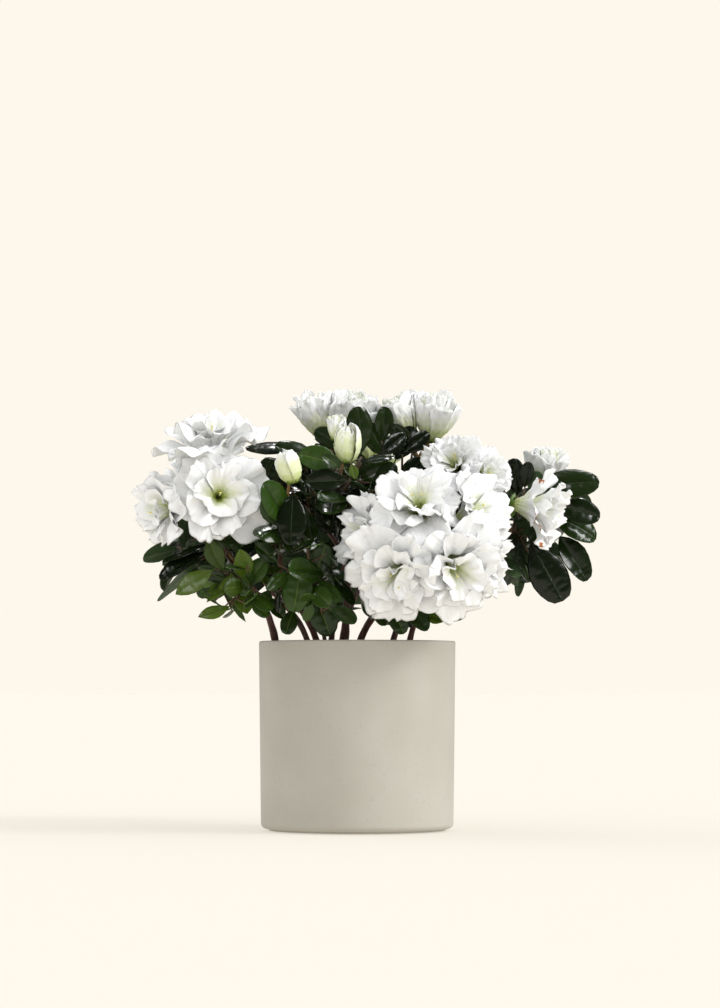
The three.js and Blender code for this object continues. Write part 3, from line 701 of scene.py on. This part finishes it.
def add_petal(joined, flower, line, turn, half, opened, random, whorl, spotted=False):
    """Adds one petal of a flower given as (middle, axis, width). Its whorl may also be the green sepals."""
    middle, axis, width = flower
    green = whorl == "sepals"
    greener = HEART["greener"] if whorl == "inner" and opened > HEART["bud"] else 1.0
    columns = PETAL_COLUMNS["inner" if green or width <= SMALL else whorl]
    shape = SEPAL["grid"] if green else (PETAL["rows"], columns)
    radius, height, angle, across, along = petal_grid(line, turn, half, width, random, shape)
    u, v = square_to(axis)
    out = np.cos(angle)[..., None] * u + np.sin(angle)[..., None] * v
    grid = middle + width * (out * radius[..., None] + axis * height[..., None])
    points, faces = two_faced(grid, PETAL["thick"])
    arc = across * radius * width
    span = both_sides(np.stack((arc, along * width / 2, np.full_like(arc, turn)), -1))
    ends = np.array([np.interp(opened, list(TONE_ENDS), stages) for stages in zip(*TONE_ENDS.values())])
    place = (along[:-1, :-1] + along[1:, 1:]) / 2
    tones = np.full(place.shape, SLOT["sepal"]) if green else np.searchsorted(ends * greener, place)
    if spotted:
        spot = abs(random() * SPOT["aside"][1] + SPOT["aside"][0])
        beside = np.abs(np.abs(across[:-1, :-1] + across[1:, 1:]) / 2 - spot)
        withered = (1 - place) / SPOT["deep"] + beside / SPOT["wide"] < 1
        tones = np.where(withered, SLOT["petal_spot"], tones)
    joined.add((points, faces, span), np.tile(tones.reshape(-1), 2).tolist())


def leaned(line, lean, size):
    """A petal's guide points turned about its foot by lean, and scaled."""
    c, s = math.cos(math.radians(lean)), math.sin(math.radians(lean))
    turned_line = (line - line[0]) @ np.array(((c, s), (-s, c)))
    return line[0] + turned_line * size


def add_flower(joined, heart, middle, out, width, opened, random, spotted):
    """Adds one flower: its stalk from the truss's heart, sepals, whorls of petals and, once open, anthers."""
    flower = (middle, out, width)
    line = whorl_line("outer", opened)
    foot = middle + out * width * line[0][1]
    if out @ (foot - heart) > FLOWER_STALK["least"]:
        stalk = limb_curve(heart, out, foot + out)
        joined.add(tube(stalk, FLOWER_STALK["radii"], STALK["sides"], STALK["step"]), SLOT["flower_stalk"])
    start = random() * 2 * math.pi
    for k in range(SEPAL["count"]):
        size = max(SEPAL["length"] * width, SEPAL["least"]) / width
        sepal = line[0] + np.array(SEPAL_LINE) * size
        turn = start + k * SEPALS_APART
        add_petal(joined, flower, sepal, turn, SEPAL["half"], opened, random, "sepals")
    more = int(random() * 2)
    for w, (whorl, count, half) in enumerate(PLAN):
        line = whorl_line(whorl, opened)
        count += more if whorl == "inner" else 0
        for k in range(count):
            turn = start + (k + w / 2) * 2 * math.pi / count + (random() - 0.5) * LOOSELY["turn"]
            lean = (random() - 0.5) * LOOSELY["lean"]
            petal = leaned(line, lean, mix(*LOOSELY["size"], random()))
            wide = half * mix(*LOOSELY["half"], random())
            marked = spotted and w == 0 and k % 2 == 0
            add_petal(joined, flower, petal, turn, wide, opened, random, whorl, marked)
    if opened < STAMENS_SHOW:
        return
    for _ in range(STAMEN["count"]):
        way = leaning(out, random() * STAMEN["lean"], random() * 360)
        tip = middle + way * width * STAMEN["reach"] * mix(*STAMEN["length"], random())
        filament = limb_curve(middle, way, tip)
        thin = (STAMEN["radius"],) * 2
        joined.add(tube(filament, thin, STAMEN["sides"], STAMEN["step"]), SLOT["filament"])
        end = tip + unit(way + facing(random() * 360, 0) * ANTHER["lean"]) * ANTHER["length"]

        def swell(turn, along, radius):
            return np.full(len(turn), ANTHER["thin"] + math.sin(math.pi * along / ANTHER["length"]))

        grain = limb_curve(tip, way, end)
        thick = (ANTHER["radius"],) * 2
        joined.add(tube(grain, thick, ANTHER["sides"], ANTHER["step"], relief=swell), SLOT["anther"])


def petal_skin(tone, k):
    """A petal's skin: matt and waxy, faintly veined lengthways, with light glowing through it."""
    material, tree, shader = new_material(f"petal_{k}", tone, 0.55, ior=1.4)
    shader.inputs["Specular IOR Level"].default_value = 0.25
    shader.inputs["Subsurface Weight"].default_value = 0.15
    shader.inputs["Subsurface Radius"].default_value = (1.0, 1.0, 0.9)
    shader.inputs["Subsurface Scale"].default_value = 1 * MM
    raised(tree, shader, (2.4, 12), 0.75, 1.1, Detail=4)
    return material


def inside(points):
    """True if points in millimetres lie inside the whole plant's box."""
    low, high = (np.array(c) / MM for c in cad_box)
    return bool((points.min(0) >= low).all() and (points.max(0) <= high).all())


def fine_skin(name, colour, roughness, grain):
    """A thin plant skin with a faint grain along it and a soft shine."""
    material, tree, shader = new_material(name, colour, roughness)
    raised(tree, shader, grain, 0.5, 0.2, Detail=3)
    return material


def beside_tip(name, curve, aside):
    """Where a stalk or a leafy stem starts at its bough's tip. A head with both has them side by side."""
    tip, along = curve[2], tangent(curve, 1)
    if name not in TRUSSES:
        return tip - along
    side = np.array(TRUSSES[name][0]) - tip
    return tip - along + unit(side - along * (side @ along)) * aside


skins = [petal_skin(tone, k) for k, tone in enumerate(TONES)]
skins += [fine_skin(name, *finish) for name, finish in PARTS.items()]
blossom_trees = []
for k, (name, head) in enumerate(HEADS.items()):
    if name not in TRUSSES:
        continue
    heart, opened, around = TRUSSES[name]
    blossom = Joined()
    curve = bough_curve(head)
    stalk = limb_curve(beside_tip(name, curve, STALK["aside"] * STALK["nearer"]), tangent(curve, 1), heart)
    radii = STALK["base"], STALK["tip"]
    blossom.add(tube(stalk, radii, STALK["sides"], STALK["step"]), SLOT["flower_stalk"])
    heart = np.array(heart, float)
    placed = [(heart + facing(*b[:2]) * b[2], b[:2], b[3], opened) for b in around]
    for n, (middle, faces, width, open_now) in enumerate(SINGLE.get(name, placed)):
        out = facing(*faces)
        for fitted in np.arange(FIT["first"], FIT["least"], FIT["step"]):
            flower = Joined()
            centre = np.array(middle, float) - out * width * max(1 - fitted, 0) * FIT["sink"]
            random = seeded(SEED + FIT["seed"] + FIT["head_seed"] * k + n)
            add_flower(flower, heart, centre, out, width * fitted, open_now, random, name == SPOT["head"])
            if inside(np.concatenate(flower.points)):
                break
        blossom.join(flower)
    piece = blossom.piece(f"blossom_{name}", skins)
    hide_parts(f"{'truss' if opened else 'buds'}_{name}")
    blossom_trees.append(blossom.tree())

# ---------- leaves and twigs ----------
# Every head is a spray of thin twigs that end in whorls of leathery oval leaves, dark and glossy above
# and paler below, with a sunk midrib. The sprig low on the left is this year's, and lighter.

GOLDEN = 137.5  # the turn from one shoot or leaf to the next
SHOOT = {"from": 0.3, "to": 0.8, "tilt": (58, 88), "turn": 40, "reach": (0.8, 1.15)}
WHORL = {"leaves": 11, "from": 0.4, "to": 0.98, "tilt": (86, 46), "spare": 16, "turn": 30, "last": 2}
LENGTH = {"any": (0.8, 1.2), "last": 0.7, "shrink": 0.97}
TWIG = {"base": 1.2, "tip": 0.8, "end": 0.7, "past": 0.25, "tries": (0.5, 0.8, 0.2), "sides": 6, "step": 5}
TESTED = {"clear": 0.35, "coarse": 4, "twig": 0.8, "twig_points": 6}  # how a leaf and a twig find free space
LEAF = {
    "width": 0.56, "base": (0.7, 0.9), "tip": (0.34, 0.46), "young_tip": (0.75, 0.95), "lean": (0.95, 1.2),
    "fuller": (0.9, 1.06), "rows": 11, "columns": 9, "thick": 0.3, "stalk": 0.09, "sag": 0.12, "above": 1.5,
}

# How a leaf is bent, and the waves of its edge. The twist and the waves' start are in radians.
BENT = {"trough": (0.1, 0.5), "arch": (0.0, 0.22), "twist": (-0.25, 0.25), "curl": (0.2, 0.8)}
WAVE = {"size": (0.0, 0.03), "along": 14, "start": 6.3}

MIDRIB = {"half": 0.04, "deep": 0.3, "wide": 0.1, "rim": 0.9}
THINNEST = {"foot": 0.012, "tip": 0.004}  # half of a leaf's least width, as a share of its length
SKIRT = {"from": 62, "slope": 0.4}
FINER = {"at": (0.35, 0.6, 0.85), "tilt": (50, 75), "turn": 60, "reach": 0.55}
FINER_LEAVES = {"count": 8, "size": 0.72, "last": 0.6}
VARIED = {"seed": 400, "leaves": 1e6}  # the second run of random numbers, and the seeds it deals to leaves
GREENS = {
    "dark": ("#131f07", "#182708", "#1e310a", "#273f0c", "#0e1705"),
    "mid": ("#1f330b", "#2b440c"),
    "young": ("#31450a", "#495f10"),
    "under": ("#3c5230",),
    "young_under": ("#6a8a45",),
    "midrib": ("#1c2d0c",),
    "young_midrib": ("#4a5f16",),
}
ROUGHNESS = {"dark": 0.25, "mid": 0.3, "young": 0.38, "under": 0.55, "young_under": 0.55}
RIB_ROUGHNESS = 0.4
TWIG_BARK = "#54402a"

# Heads that are not all dark, with the greens that their shoots take in turn.
LIGHTER = {"low_left": ("young", "mid", "mid"), "low_front": ("mid", "dark")}

# Leaves that stand in front of the rest: root, tip, the way the face is turned, and perhaps a green other
# than the head's own.
SHOWN = {
    "front_left": [((-44, -82, 238), (-46, -90, 198), (0, -1, 0.2))],
    "top_front": [
        ((-10, -68, 254), (-41, -74, 264), (-0.1, -1, 0.45), "mid"),
        ((-4, -72, 244), (-36, -80, 243), (0, -1, 0.35)),
        ((-11, -72, 252), (-23, -80, 262), (0, -1, 0.4), "mid"),
        ((3, -38, 262), (2, -43, 299), (0.1, -1, 0.15)),
        ((2, -58, 257), (26, -64, 265), (0, -0.5, 1)),
        ((14, -40, 262), (33, -44, 280), (-0.2, -1, 0.6)),
        ((12, -64, 237), (26, -68, 257), (0, -1, 0.5)),
        ((-24, -26, 260), (-58, -32, 273), (-0.1, -0.8, 0.8)),
        ((0, -50, 246), (26, -56, 256), (0, -1, 0.4)),
        ((-20, -34, 246), (12, -38, 252), (0, -1, 0.3)),
        ((-16, -54, 238), (8, -60, 230), (0, -1, 0.3)),
        ((0, -30, 234), (32, -34, 246), (0, -1, 0.3)),
        ((-30, -32, 240), (-4, -36, 226), (0, -1, 0.3)),
        ((-4, -66, 257), (-1, -70, 245), (0, -1, 0.3), "young"),
        ((-2, -64, 260), (7, -68, 256), (0.3, -1, 0.5), "young"),
    ],
    "top_right": [
        ((17, -26, 274), (21, -30, 300), (0.2, -1, 0.1)),
        ((9, -16, 298), (27, -18, 305), (0, -0.6, 1)),
        ((31, -36, 264), (50, -40, 281), (0.1, -1, 0.5)),
        ((40, -26, 268), (24, -34, 286), (0, -1, 0.4)),
        ((50, -12, 274), (72, -18, 262), (0.2, -1, 0.5)),
        ((44, -30, 262), (58, -36, 248), (0.2, -1, 0.3)),
        ((22, -12, 262), (8, -14, 290), (0, -1, 0.2)),
        ((26, -14, 260), (40, -18, 288), (0, -1, 0.3)),
        ((30, -20, 250), (8, -26, 264), (-0.1, -1, 0.5)),
        ((40, -24, 250), (64, -30, 264), (0.1, -1, 0.4)),
        ((28, -34, 244), (46, -40, 262), (0, -1, 0.4)),
    ],
    "top_left": [
        ((-36, -14, 271), (-80, -20, 280), (-0.1, -0.6, 1)),
        ((-22, -18, 268), (-54, -22, 279), (-0.1, -0.7, 1)),
        ((-6, -16, 270), (-30, -22, 284), (0, -1, 0.4)),
    ],
    "left": [
        ((-104, -26, 198), (-143, -32, 182), (-0.2, -0.5, 1)),
        ((-110, -20, 192), (-143, -22, 163), (-0.8, 0.3, 0.6)),
        ((-70, -34, 232), (-58, -40, 262), (0.2, -1, 0.3)),
        ((-66, -40, 226), (-60, -46, 196), (0.2, -1, 0.2)),
    ],
    "low_left": [
        ((-98, -58, 184), (-128, -66, 168), (-0.2, -0.8, 0.8)),
        ((-92, -60, 180), (-104, -70, 203), (-0.3, -1, 0.3)),
        ((-86, -62, 158), (-110, -70, 150), (0, -0.8, 0.8)),
        ((-78, -64, 170), (-64, -72, 190), (0.1, -1, 0.4), "mid"),
        ((-74, -66, 166), (-58, -74, 156), (0.2, -1, 0.5), "mid"),
        ((-80, -60, 190), (-96, -66, 212), (-0.2, -1, 0.3), "mid"),
        ((-74, -54, 166), (-62, -60, 150), (0.2, -1, 0.4), "mid"),
        ((-64, -50, 164), (-50, -54, 150), (0.1, -1, 0.4), "mid"),
    ],
    "low_front": [
        ((-38, -72, 190), (-44, -78, 152), (-0.2, -1, 0.1)),
        ((-44, -44, 158), (-50, -50, 138), (0, -1, 0.2)),
        ((-32, -50, 152), (-18, -58, 139), (0.2, -1, 0.4)),
        ((-54, -66, 186), (-70, -74, 200), (-0.2, -1, 0.4)),
        ((-48, -70, 182), (-62, -78, 168), (-0.2, -1, 0.4)),
        ((-30, -72, 184), (-8, -80, 190), (0.1, -1, 0.5)),
        ((-28, -70, 176), (-12, -78, 160), (0.1, -1, 0.4)),
    ],
    "front": [
        ((32, -66, 160), (50, -76, 142), (0.1, -1, 0.3)),
        ((24, -60, 160), (32, -68, 138), (0, -1, 0.3), "mid"),
        ((12, -60, 166), (20, -70, 144), (0, -1, 0.3)),
        ((46, -64, 150), (62, -74, 149), (0, -1, 0.4), "young"),
    ],
    "far_right": [
        ((124, -18, 242), (172, -26, 249), (0, -1, 0.4)),
        ((134, -8, 226), (174, -8, 210), (0.2, -1, 0.4)),
        ((142, -4, 212), (165, -4, 177), (0.2, -1, 0.3)),
        ((120, -28, 208), (146, -34, 161), (0.1, -1, 0.4)),
        ((138, -16, 231), (173, -16, 222), (0.1, -1, 0.3)),
        ((140, -10, 240), (168, -10, 230), (0, -1, 0.3)),
        ((114, -14, 236), (110, -18, 264), (-0.3, -1, 0.3)),
        ((118, -26, 240), (121, -32, 260), (0.1, -1, 0.2)),
        ((112, -44, 236), (118, -50, 228), (0.2, -1, 0.4), "young"),
        ((112, -44, 238), (108, -50, 226), (-0.2, -1, 0.3), "young"),
    ],
}


def leaf_grid(root, direction, up, length, random, tip):
    """A grid of points over a leaf: a short stalk, then an oval blade with raised halves and a bent tip."""
    x = unit(direction)
    y = unit(np.cross(up, x))
    z = np.cross(x, y)
    side = np.linspace(-1, 1, LEAF["columns"])
    side[[1, -2]] = -MIDRIB["rim"], MIDRIB["rim"]
    middle = LEAF["columns"] // 2
    side[middle - 1], side[middle + 1] = -MIDRIB["half"], MIDRIB["half"]
    across, along = np.meshgrid(side, (1 - np.cos(np.linspace(0, math.pi, LEAF["rows"]))) / 2)
    blade = np.clip((along - LEAF["stalk"]) / (1 - LEAF["stalk"]), 0, 1)
    full = mix(mix(*LEAF["base"], random()), mix(*tip, random()), blade)
    lean = mix(*LEAF["lean"], random())
    half = LEAF["width"] / 2 * length * mix(*LEAF["fuller"], random()) * np.sin(math.pi * blade**lean) ** full
    half = np.maximum(half, np.where(along < 0.5, THINNEST["foot"], THINNEST["tip"]) * length)
    trough, arch, twist, curl = (mix(*least_and_most, random()) for least_and_most in BENT.values())
    wave, phase = mix(*WAVE["size"], random()), random() * WAVE["start"]
    height = half * (trough * np.abs(across) - curl * 0.6 * np.abs(across) ** 2.2)
    height += half * wave * np.sin(along * WAVE["along"] + phase) * np.abs(across) * np.sign(across)
    height -= arch * along**2 * length
    height -= MIDRIB["deep"] * np.exp(-((across / MIDRIB["wide"]) ** 2)) * (blade > 0)
    spin = twist * along
    width = across * half
    aside, rise = width * np.cos(spin) - height * np.sin(spin), width * np.sin(spin) + height * np.cos(spin)
    ahead = along * length * (1 - arch * 0.3 * along)
    return np.asarray(root) + ahead[..., None] * x + aside[..., None] * y + rise[..., None] * z


def quad_tree(grid):
    rows, columns = grid.shape[:2]
    index = np.arange(rows * columns).reshape(rows, columns)
    faces = np.stack((index[:-1, :-1], index[:-1, 1:], index[1:, 1:], index[1:, :-1]), -1).reshape(-1, 4)
    return BVHTree.FromPolygons(grid.reshape(-1, 3).tolist(), faces.tolist())


def in_space(points, head):
    """True if every point is nearer this head's middle than any other head's, by a margin."""
    middle = np.array(head["at"], float)
    own = ((points - middle) ** 2).sum(-1)
    for other in HEADS.values():
        if other is head:
            continue
        there = np.array(other["at"], float)
        margin = 2 * np.linalg.norm(there - middle) * TESTED["clear"]
        if (((points - there) ** 2).sum(-1) - own).min() < margin:
            return False
    return True


def cad_tree(*nodes):
    """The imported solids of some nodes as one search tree, in millimetres."""
    points, faces = [], []
    for node in nodes:
        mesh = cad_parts[node].data
        base = len(points)
        points += [tuple(v.co / MM) for v in mesh.vertices]
        faces += [tuple(base + i for i in p.vertices) for p in mesh.polygons]
    return BVHTree.FromPolygons(points, faces)


def skirt(points):
    """How low the crown hangs at some points: just over the pot's rim, and higher further out."""
    further = np.linalg.norm(points[..., :2], axis=-1) - SKIRT["from"]
    return rim_height + LEAF["above"] + SKIRT["slope"] * np.maximum(further, 0)


def foliage(name, head, seed, obstacles, leaves, twigs, shown):
    """Grows one head: a main twig from its bough, shoots by the golden turn, and leaves round each shoot.

    A leaf that would leave the head's space, hang below the skirt, or meet a limb, a flower or an earlier
    leaf is left out. The space and what it meets are tested on a coarse grid of its points, and earlier
    leaves without its foot. Finer twigs then fill in round each shoot. Shoots and finer twigs end at their
    last leaf, and are left out if they have none. The leaves that stand in front are grown first on all
    heads, with shown true. They may reach into another head's space, and shrink until they lie inside the
    plant's box and above the pot's rim.
    """
    random, vary = seeded(seed), seeded(seed + VARIED["seed"] + shown)
    axis, heart = facing(*head["faces"]), np.array(head["at"], float)
    bough = bough_curve(head)
    start = beside_tip(name, bough, -STALK["aside"])
    main = limb_curve(start, tangent(bough, 1), heart + axis * head["spread"] * TWIG["past"])
    if shown:
        twigs.add(tube(main, (TWIG["base"], TWIG["tip"]), TWIG["sides"], TWIG["step"]))

    def clear(grid):
        tree = quad_tree(grid)
        free = shown or in_space(grid.reshape(-1, 3), head)
        return free and not any(o.overlap(tree) for o in obstacles)

    greens = LIGHTER.get(name, ("dark",))

    def grow(root, direction, up, length, green=greens[0]):
        shaped = seeded(int(vary() * VARIED["leaves"]))
        tip = LEAF["young_tip" if green == "young" else "tip"]
        grid = leaf_grid(root, direction, up, length, shaped, tip)
        lowest = rim_height + LEAF["above"] if shown else skirt(grid)
        outside = (grid[..., 2] < lowest).any() or not inside(grid.reshape(-1, 3))
        if shown and outside:
            return grow(root, direction, up, length * LENGTH["shrink"], green)
        rough = grid[:: LEAF["rows"] // TESTED["coarse"], :: LEAF["columns"] // TESTED["coarse"]]
        beyond = quad_tree(rough[1:])
        if outside or any(b.overlap(beyond) for b in blades) or not clear(rough):
            return False
        blades.append(beyond)
        points, faces = two_faced(grid, LEAF["thick"])
        rows, columns = grid.shape[:2]
        along, across = np.meshgrid(np.linspace(0, length, rows), np.linspace(-1, 1, columns), indexing="ij")
        span = both_sides(np.stack((across * length / 4, along, np.full_like(along, len(blades))), -1))
        upper = np.full((rows - 1, columns - 1), slot_of[green] + int(vary() * len(GREENS[green])))
        rib = slot_of["midrib" if green == "dark" else "young_midrib"]
        upper[:, columns // 2 - 1 : columns // 2 + 1] = upper[0] = rib
        under = np.full_like(upper, slot_of["under" if green == "dark" else "young_under"])
        leaves.add((points, faces, span), np.concatenate((upper.ravel(), under.ravel())).tolist())
        return True

    def shoot(t, end, curve=main):
        twig = limb_curve(on_curve(curve, t), unit(end - on_curve(curve, t)), end)
        line = np.linspace(twig[0], end, TESTED["twig_points"])[1:]
        if not shown and (line[-1][2] < skirt(line[-1]) or not in_space(line, head)):
            return None
        away = Vector(end - twig[0])
        reach = away.length * TESTED["twig"]
        if any(o.ray_cast(Vector(line[0]), away.normalized(), reach)[0] for o in obstacles):
            return None
        return twig

    def add_twig(curve, radii, t=1.0):
        part = np.array((curve[0], mix(curve[0], curve[1], t), on_curve(curve, t)))
        twigs.add(tube(part, radii, TWIG["sides"], TWIG["step"]))

    if shown:
        for root, end, face, *green in SHOWN.get(name, []):
            root, way = np.array(root, float), np.subtract(end, root).astype(float)
            found = [twig for t in TWIG["tries"] if (twig := shoot(t, root + unit(way))) is not None]
            if found and grow(root, unit(way), face, np.linalg.norm(way), *green):
                add_twig(found[0], (TWIG["tip"],) * 2)
        return

    shoots = [main]
    for k in range(head["shoots"]):
        away = leaning(axis, mix(*SHOOT["tilt"], random()), k * GOLDEN + random() * SHOOT["turn"])
        end = heart + away * head["spread"] * mix(*SHOOT["reach"], random())
        t = mix(SHOOT["from"], SHOOT["to"], k / head["shoots"])
        twig = shoot(t, end)
        if twig is not None:
            shoots.append(twig)
    leafy = [0.0] * len(shoots)
    for k, curve in enumerate(shoots):
        for j in range(WHORL["leaves"]):
            t = mix(WHORL["from"], WHORL["to"], j / (WHORL["leaves"] - 1))
            grows = tangent(curve, t)
            tilt = mix(*WHORL["tilt"], j / WHORL["leaves"]) + random() * WHORL["spare"]
            direction = leaning(grows, tilt, j * GOLDEN + random() * WHORL["turn"])
            direction[2] -= LEAF["sag"]
            small = 1 if j < WHORL["leaves"] - WHORL["last"] else LENGTH["last"]
            length = head["leaf"] * (small * mix(*LENGTH["any"], random()))
            green = greens[k % len(greens)]
            if grow(on_curve(curve, t), unit(direction), grows, length, green):
                leafy[k] = t
    for k, curve in enumerate(list(shoots)):
        for m, t in enumerate(FINER["at"]):
            tilt = mix(*FINER["tilt"], vary())
            turn = (k * len(FINER["at"]) + m) * GOLDEN + vary() * FINER["turn"]
            way = leaning(tangent(curve, t), tilt, turn)
            root = on_curve(curve, t)
            twig = shoot(t, root + way * head["spread"] * FINER["reach"], curve)
            if twig is None:
                continue
            last = 0.0
            for j in range(FINER_LEAVES["count"]):
                place = mix(WHORL["from"], WHORL["to"], j / (FINER_LEAVES["count"] - 1))
                tilt = mix(*WHORL["tilt"], j / FINER_LEAVES["count"]) + vary() * WHORL["spare"]
                direction = leaning(way, tilt, j * GOLDEN + vary() * WHORL["turn"])
                size = head["leaf"] * FINER_LEAVES["size"] * mix(*LENGTH["any"], vary())
                small = FINER_LEAVES["last"] if j == FINER_LEAVES["count"] - 1 else 1
                green = greens[(k + m) % len(greens)]
                if grow(on_curve(twig, place), unit(direction), way, size * small, green):
                    last = place
            if last:
                add_twig(twig, (TWIG["tip"], TWIG["tip"] * TWIG["end"]), last)
                leafy[k] = max(leafy[k], t)
    for curve, t in zip(shoots[1:], leafy[1:]):
        if t:
            add_twig(curve, (TWIG["base"], TWIG["tip"]), t)


def leaf_skin(name, colour, roughness):
    """A leathery leaf: a smooth wax skin over fine dimples, so it shines in broad broken lights."""
    material, tree, shader = new_material(name, colour, roughness, ior=1.45)
    shader.inputs["Specular IOR Level"].default_value = 0.4
    raised(tree, shader, (5, 3.4), 0.9, 0.9, "ShaderNodeTexVoronoi", feature="SMOOTH_F1")
    return material


slot_of, leaf_skins = {}, []
for green, colours in GREENS.items():
    slot_of[green] = len(leaf_skins)
    roughness = ROUGHNESS.get(green, RIB_ROUGHNESS)
    leaf_skins += [leaf_skin(f"leaf_{green}_{k}", colour, roughness) for k, colour in enumerate(colours)]
twigs = Joined()
trusses = [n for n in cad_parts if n.startswith(("truss_", "buds_"))]
obstacles = [cad_tree("pot", "potting_soil", *trusses), wood.tree(), *blossom_trees]
rim_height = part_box("pot")[1][2] / MM
blades = []
sprays = {name: Joined() for name in HEADS}
for shown in (True, False):
    for k, (name, head) in enumerate(HEADS.items()):
        foliage(name, head, SEED + k, obstacles, sprays[name], twigs, shown)
for name, leaves in sprays.items():
    piece = leaves.piece(f"foliage_{name}", leaf_skins)
    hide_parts(f"leaves_{name}")
shoots = twigs.piece("twigs", [fine_skin("twig_bark", TWIG_BARK, 0.7, (0.7, 4))])
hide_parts(*(f"leaves_{name}" for name in HEADS))

# ---------- studio ----------
# A floor of cream paper under a backdrop of the same cream. The paper gives off part of its light itself,
# so that both have one tone. A key light and a softer one come from the right, and a weaker one from behind
# on the left. Three cards show only in what shines, where the even fill is dimmed.

STUDIO = {"cream": "#fef8ec", "drop": 0.6, "far": 60000, "glow": 0.575, "paper": 0.3}
SKY = {"fill": 1.0, "mirrored": 0.05}
LIGHTS = {
    "key": {"bearing": 70, "rise": 35, "strength": 0.9, "spread": 12, "diffuse": True, "shine": True},
    "soft": {"bearing": 66, "rise": 30, "strength": 1.15, "spread": 60, "diffuse": True, "shine": False},
    "rim": {"bearing": -125, "rise": 25, "strength": 0.8, "spread": 40, "diffuse": True, "shine": False},
    "card_back": {"bearing": 165, "rise": 58, "strength": 2.4, "spread": 16, "diffuse": False, "shine": True},
    "card_right": {"bearing": 80, "rise": 50, "strength": 1.8, "spread": 18, "diffuse": False, "shine": True},
    "card_left": {"bearing": -70, "rise": 60, "strength": 1.4, "spread": 24, "diffuse": False, "shine": True},
}

floor_mesh = bpy.data.meshes.new("floor")
far, drop = STUDIO["far"] * MM, STUDIO["drop"] * MM
corners = [(x, y, -drop) for x, y in ((-far, -far), (far, -far), (far, far), (-far, far))]
floor_mesh.from_pydata(corners, [], [range(4)])
floor = bpy.data.objects.new("floor", floor_mesh)
bpy.context.scene.collection.objects.link(floor)
paper, tree, shader = new_material("cream_paper", STUDIO["cream"], 1.0)
shader.inputs["Base Color"].default_value = [c * STUDIO["paper"] for c in linear(STUDIO["cream"])[:3]] + [1]
shader.inputs["Specular IOR Level"].default_value = 0
shader.inputs["Emission Color"].default_value = linear(STUDIO["cream"])
shader.inputs["Emission Strength"].default_value = STUDIO["glow"]
floor_mesh.materials.append(paper)

for name, light in LIGHTS.items():
    sun = bpy.data.objects.new(name, bpy.data.lights.new(name, "SUN"))
    sun.data.energy = light["strength"]
    sun.data.angle = math.radians(light["spread"])
    sun.visible_diffuse = light["diffuse"]
    sun.visible_glossy = light["shine"]
    sun.rotation_euler = Vector(facing(light["bearing"], light["rise"])).to_track_quat("Z", "Y").to_euler()
    bpy.context.scene.collection.objects.link(sun)

world = bpy.data.worlds.new("studio")
world.use_nodes = True
bpy.context.scene.world = world
tree = world.node_tree
fill = tree.nodes["Background"]
fill.inputs["Color"].default_value = (1, 1, 1, 1)
seen = add_node(tree, "ShaderNodeBackground", {"Color": linear(STUDIO["cream"]), "Strength": 1.0})
path = add_node(tree, "ShaderNodeLightPath").outputs
dim = add_node(tree, "ShaderNodeMath", {"operation": "MULTIPLY_ADD"}, {0: path["Is Glossy Ray"]})
dim.inputs[1].default_value = SKY["mirrored"] - SKY["fill"]
dim.inputs[2].default_value = SKY["fill"]
tree.links.new(dim.outputs[0], fill.inputs["Strength"])
sources = {0: path["Is Camera Ray"], 1: fill.outputs[0], 2: seen.outputs[0]}
choice = add_node(tree, "ShaderNodeMixShader", links=sources)
tree.links.new(choice.outputs[0], tree.nodes["World Output"].inputs["Surface"])
bpy.context.scene.view_settings.view_transform = "Standard"
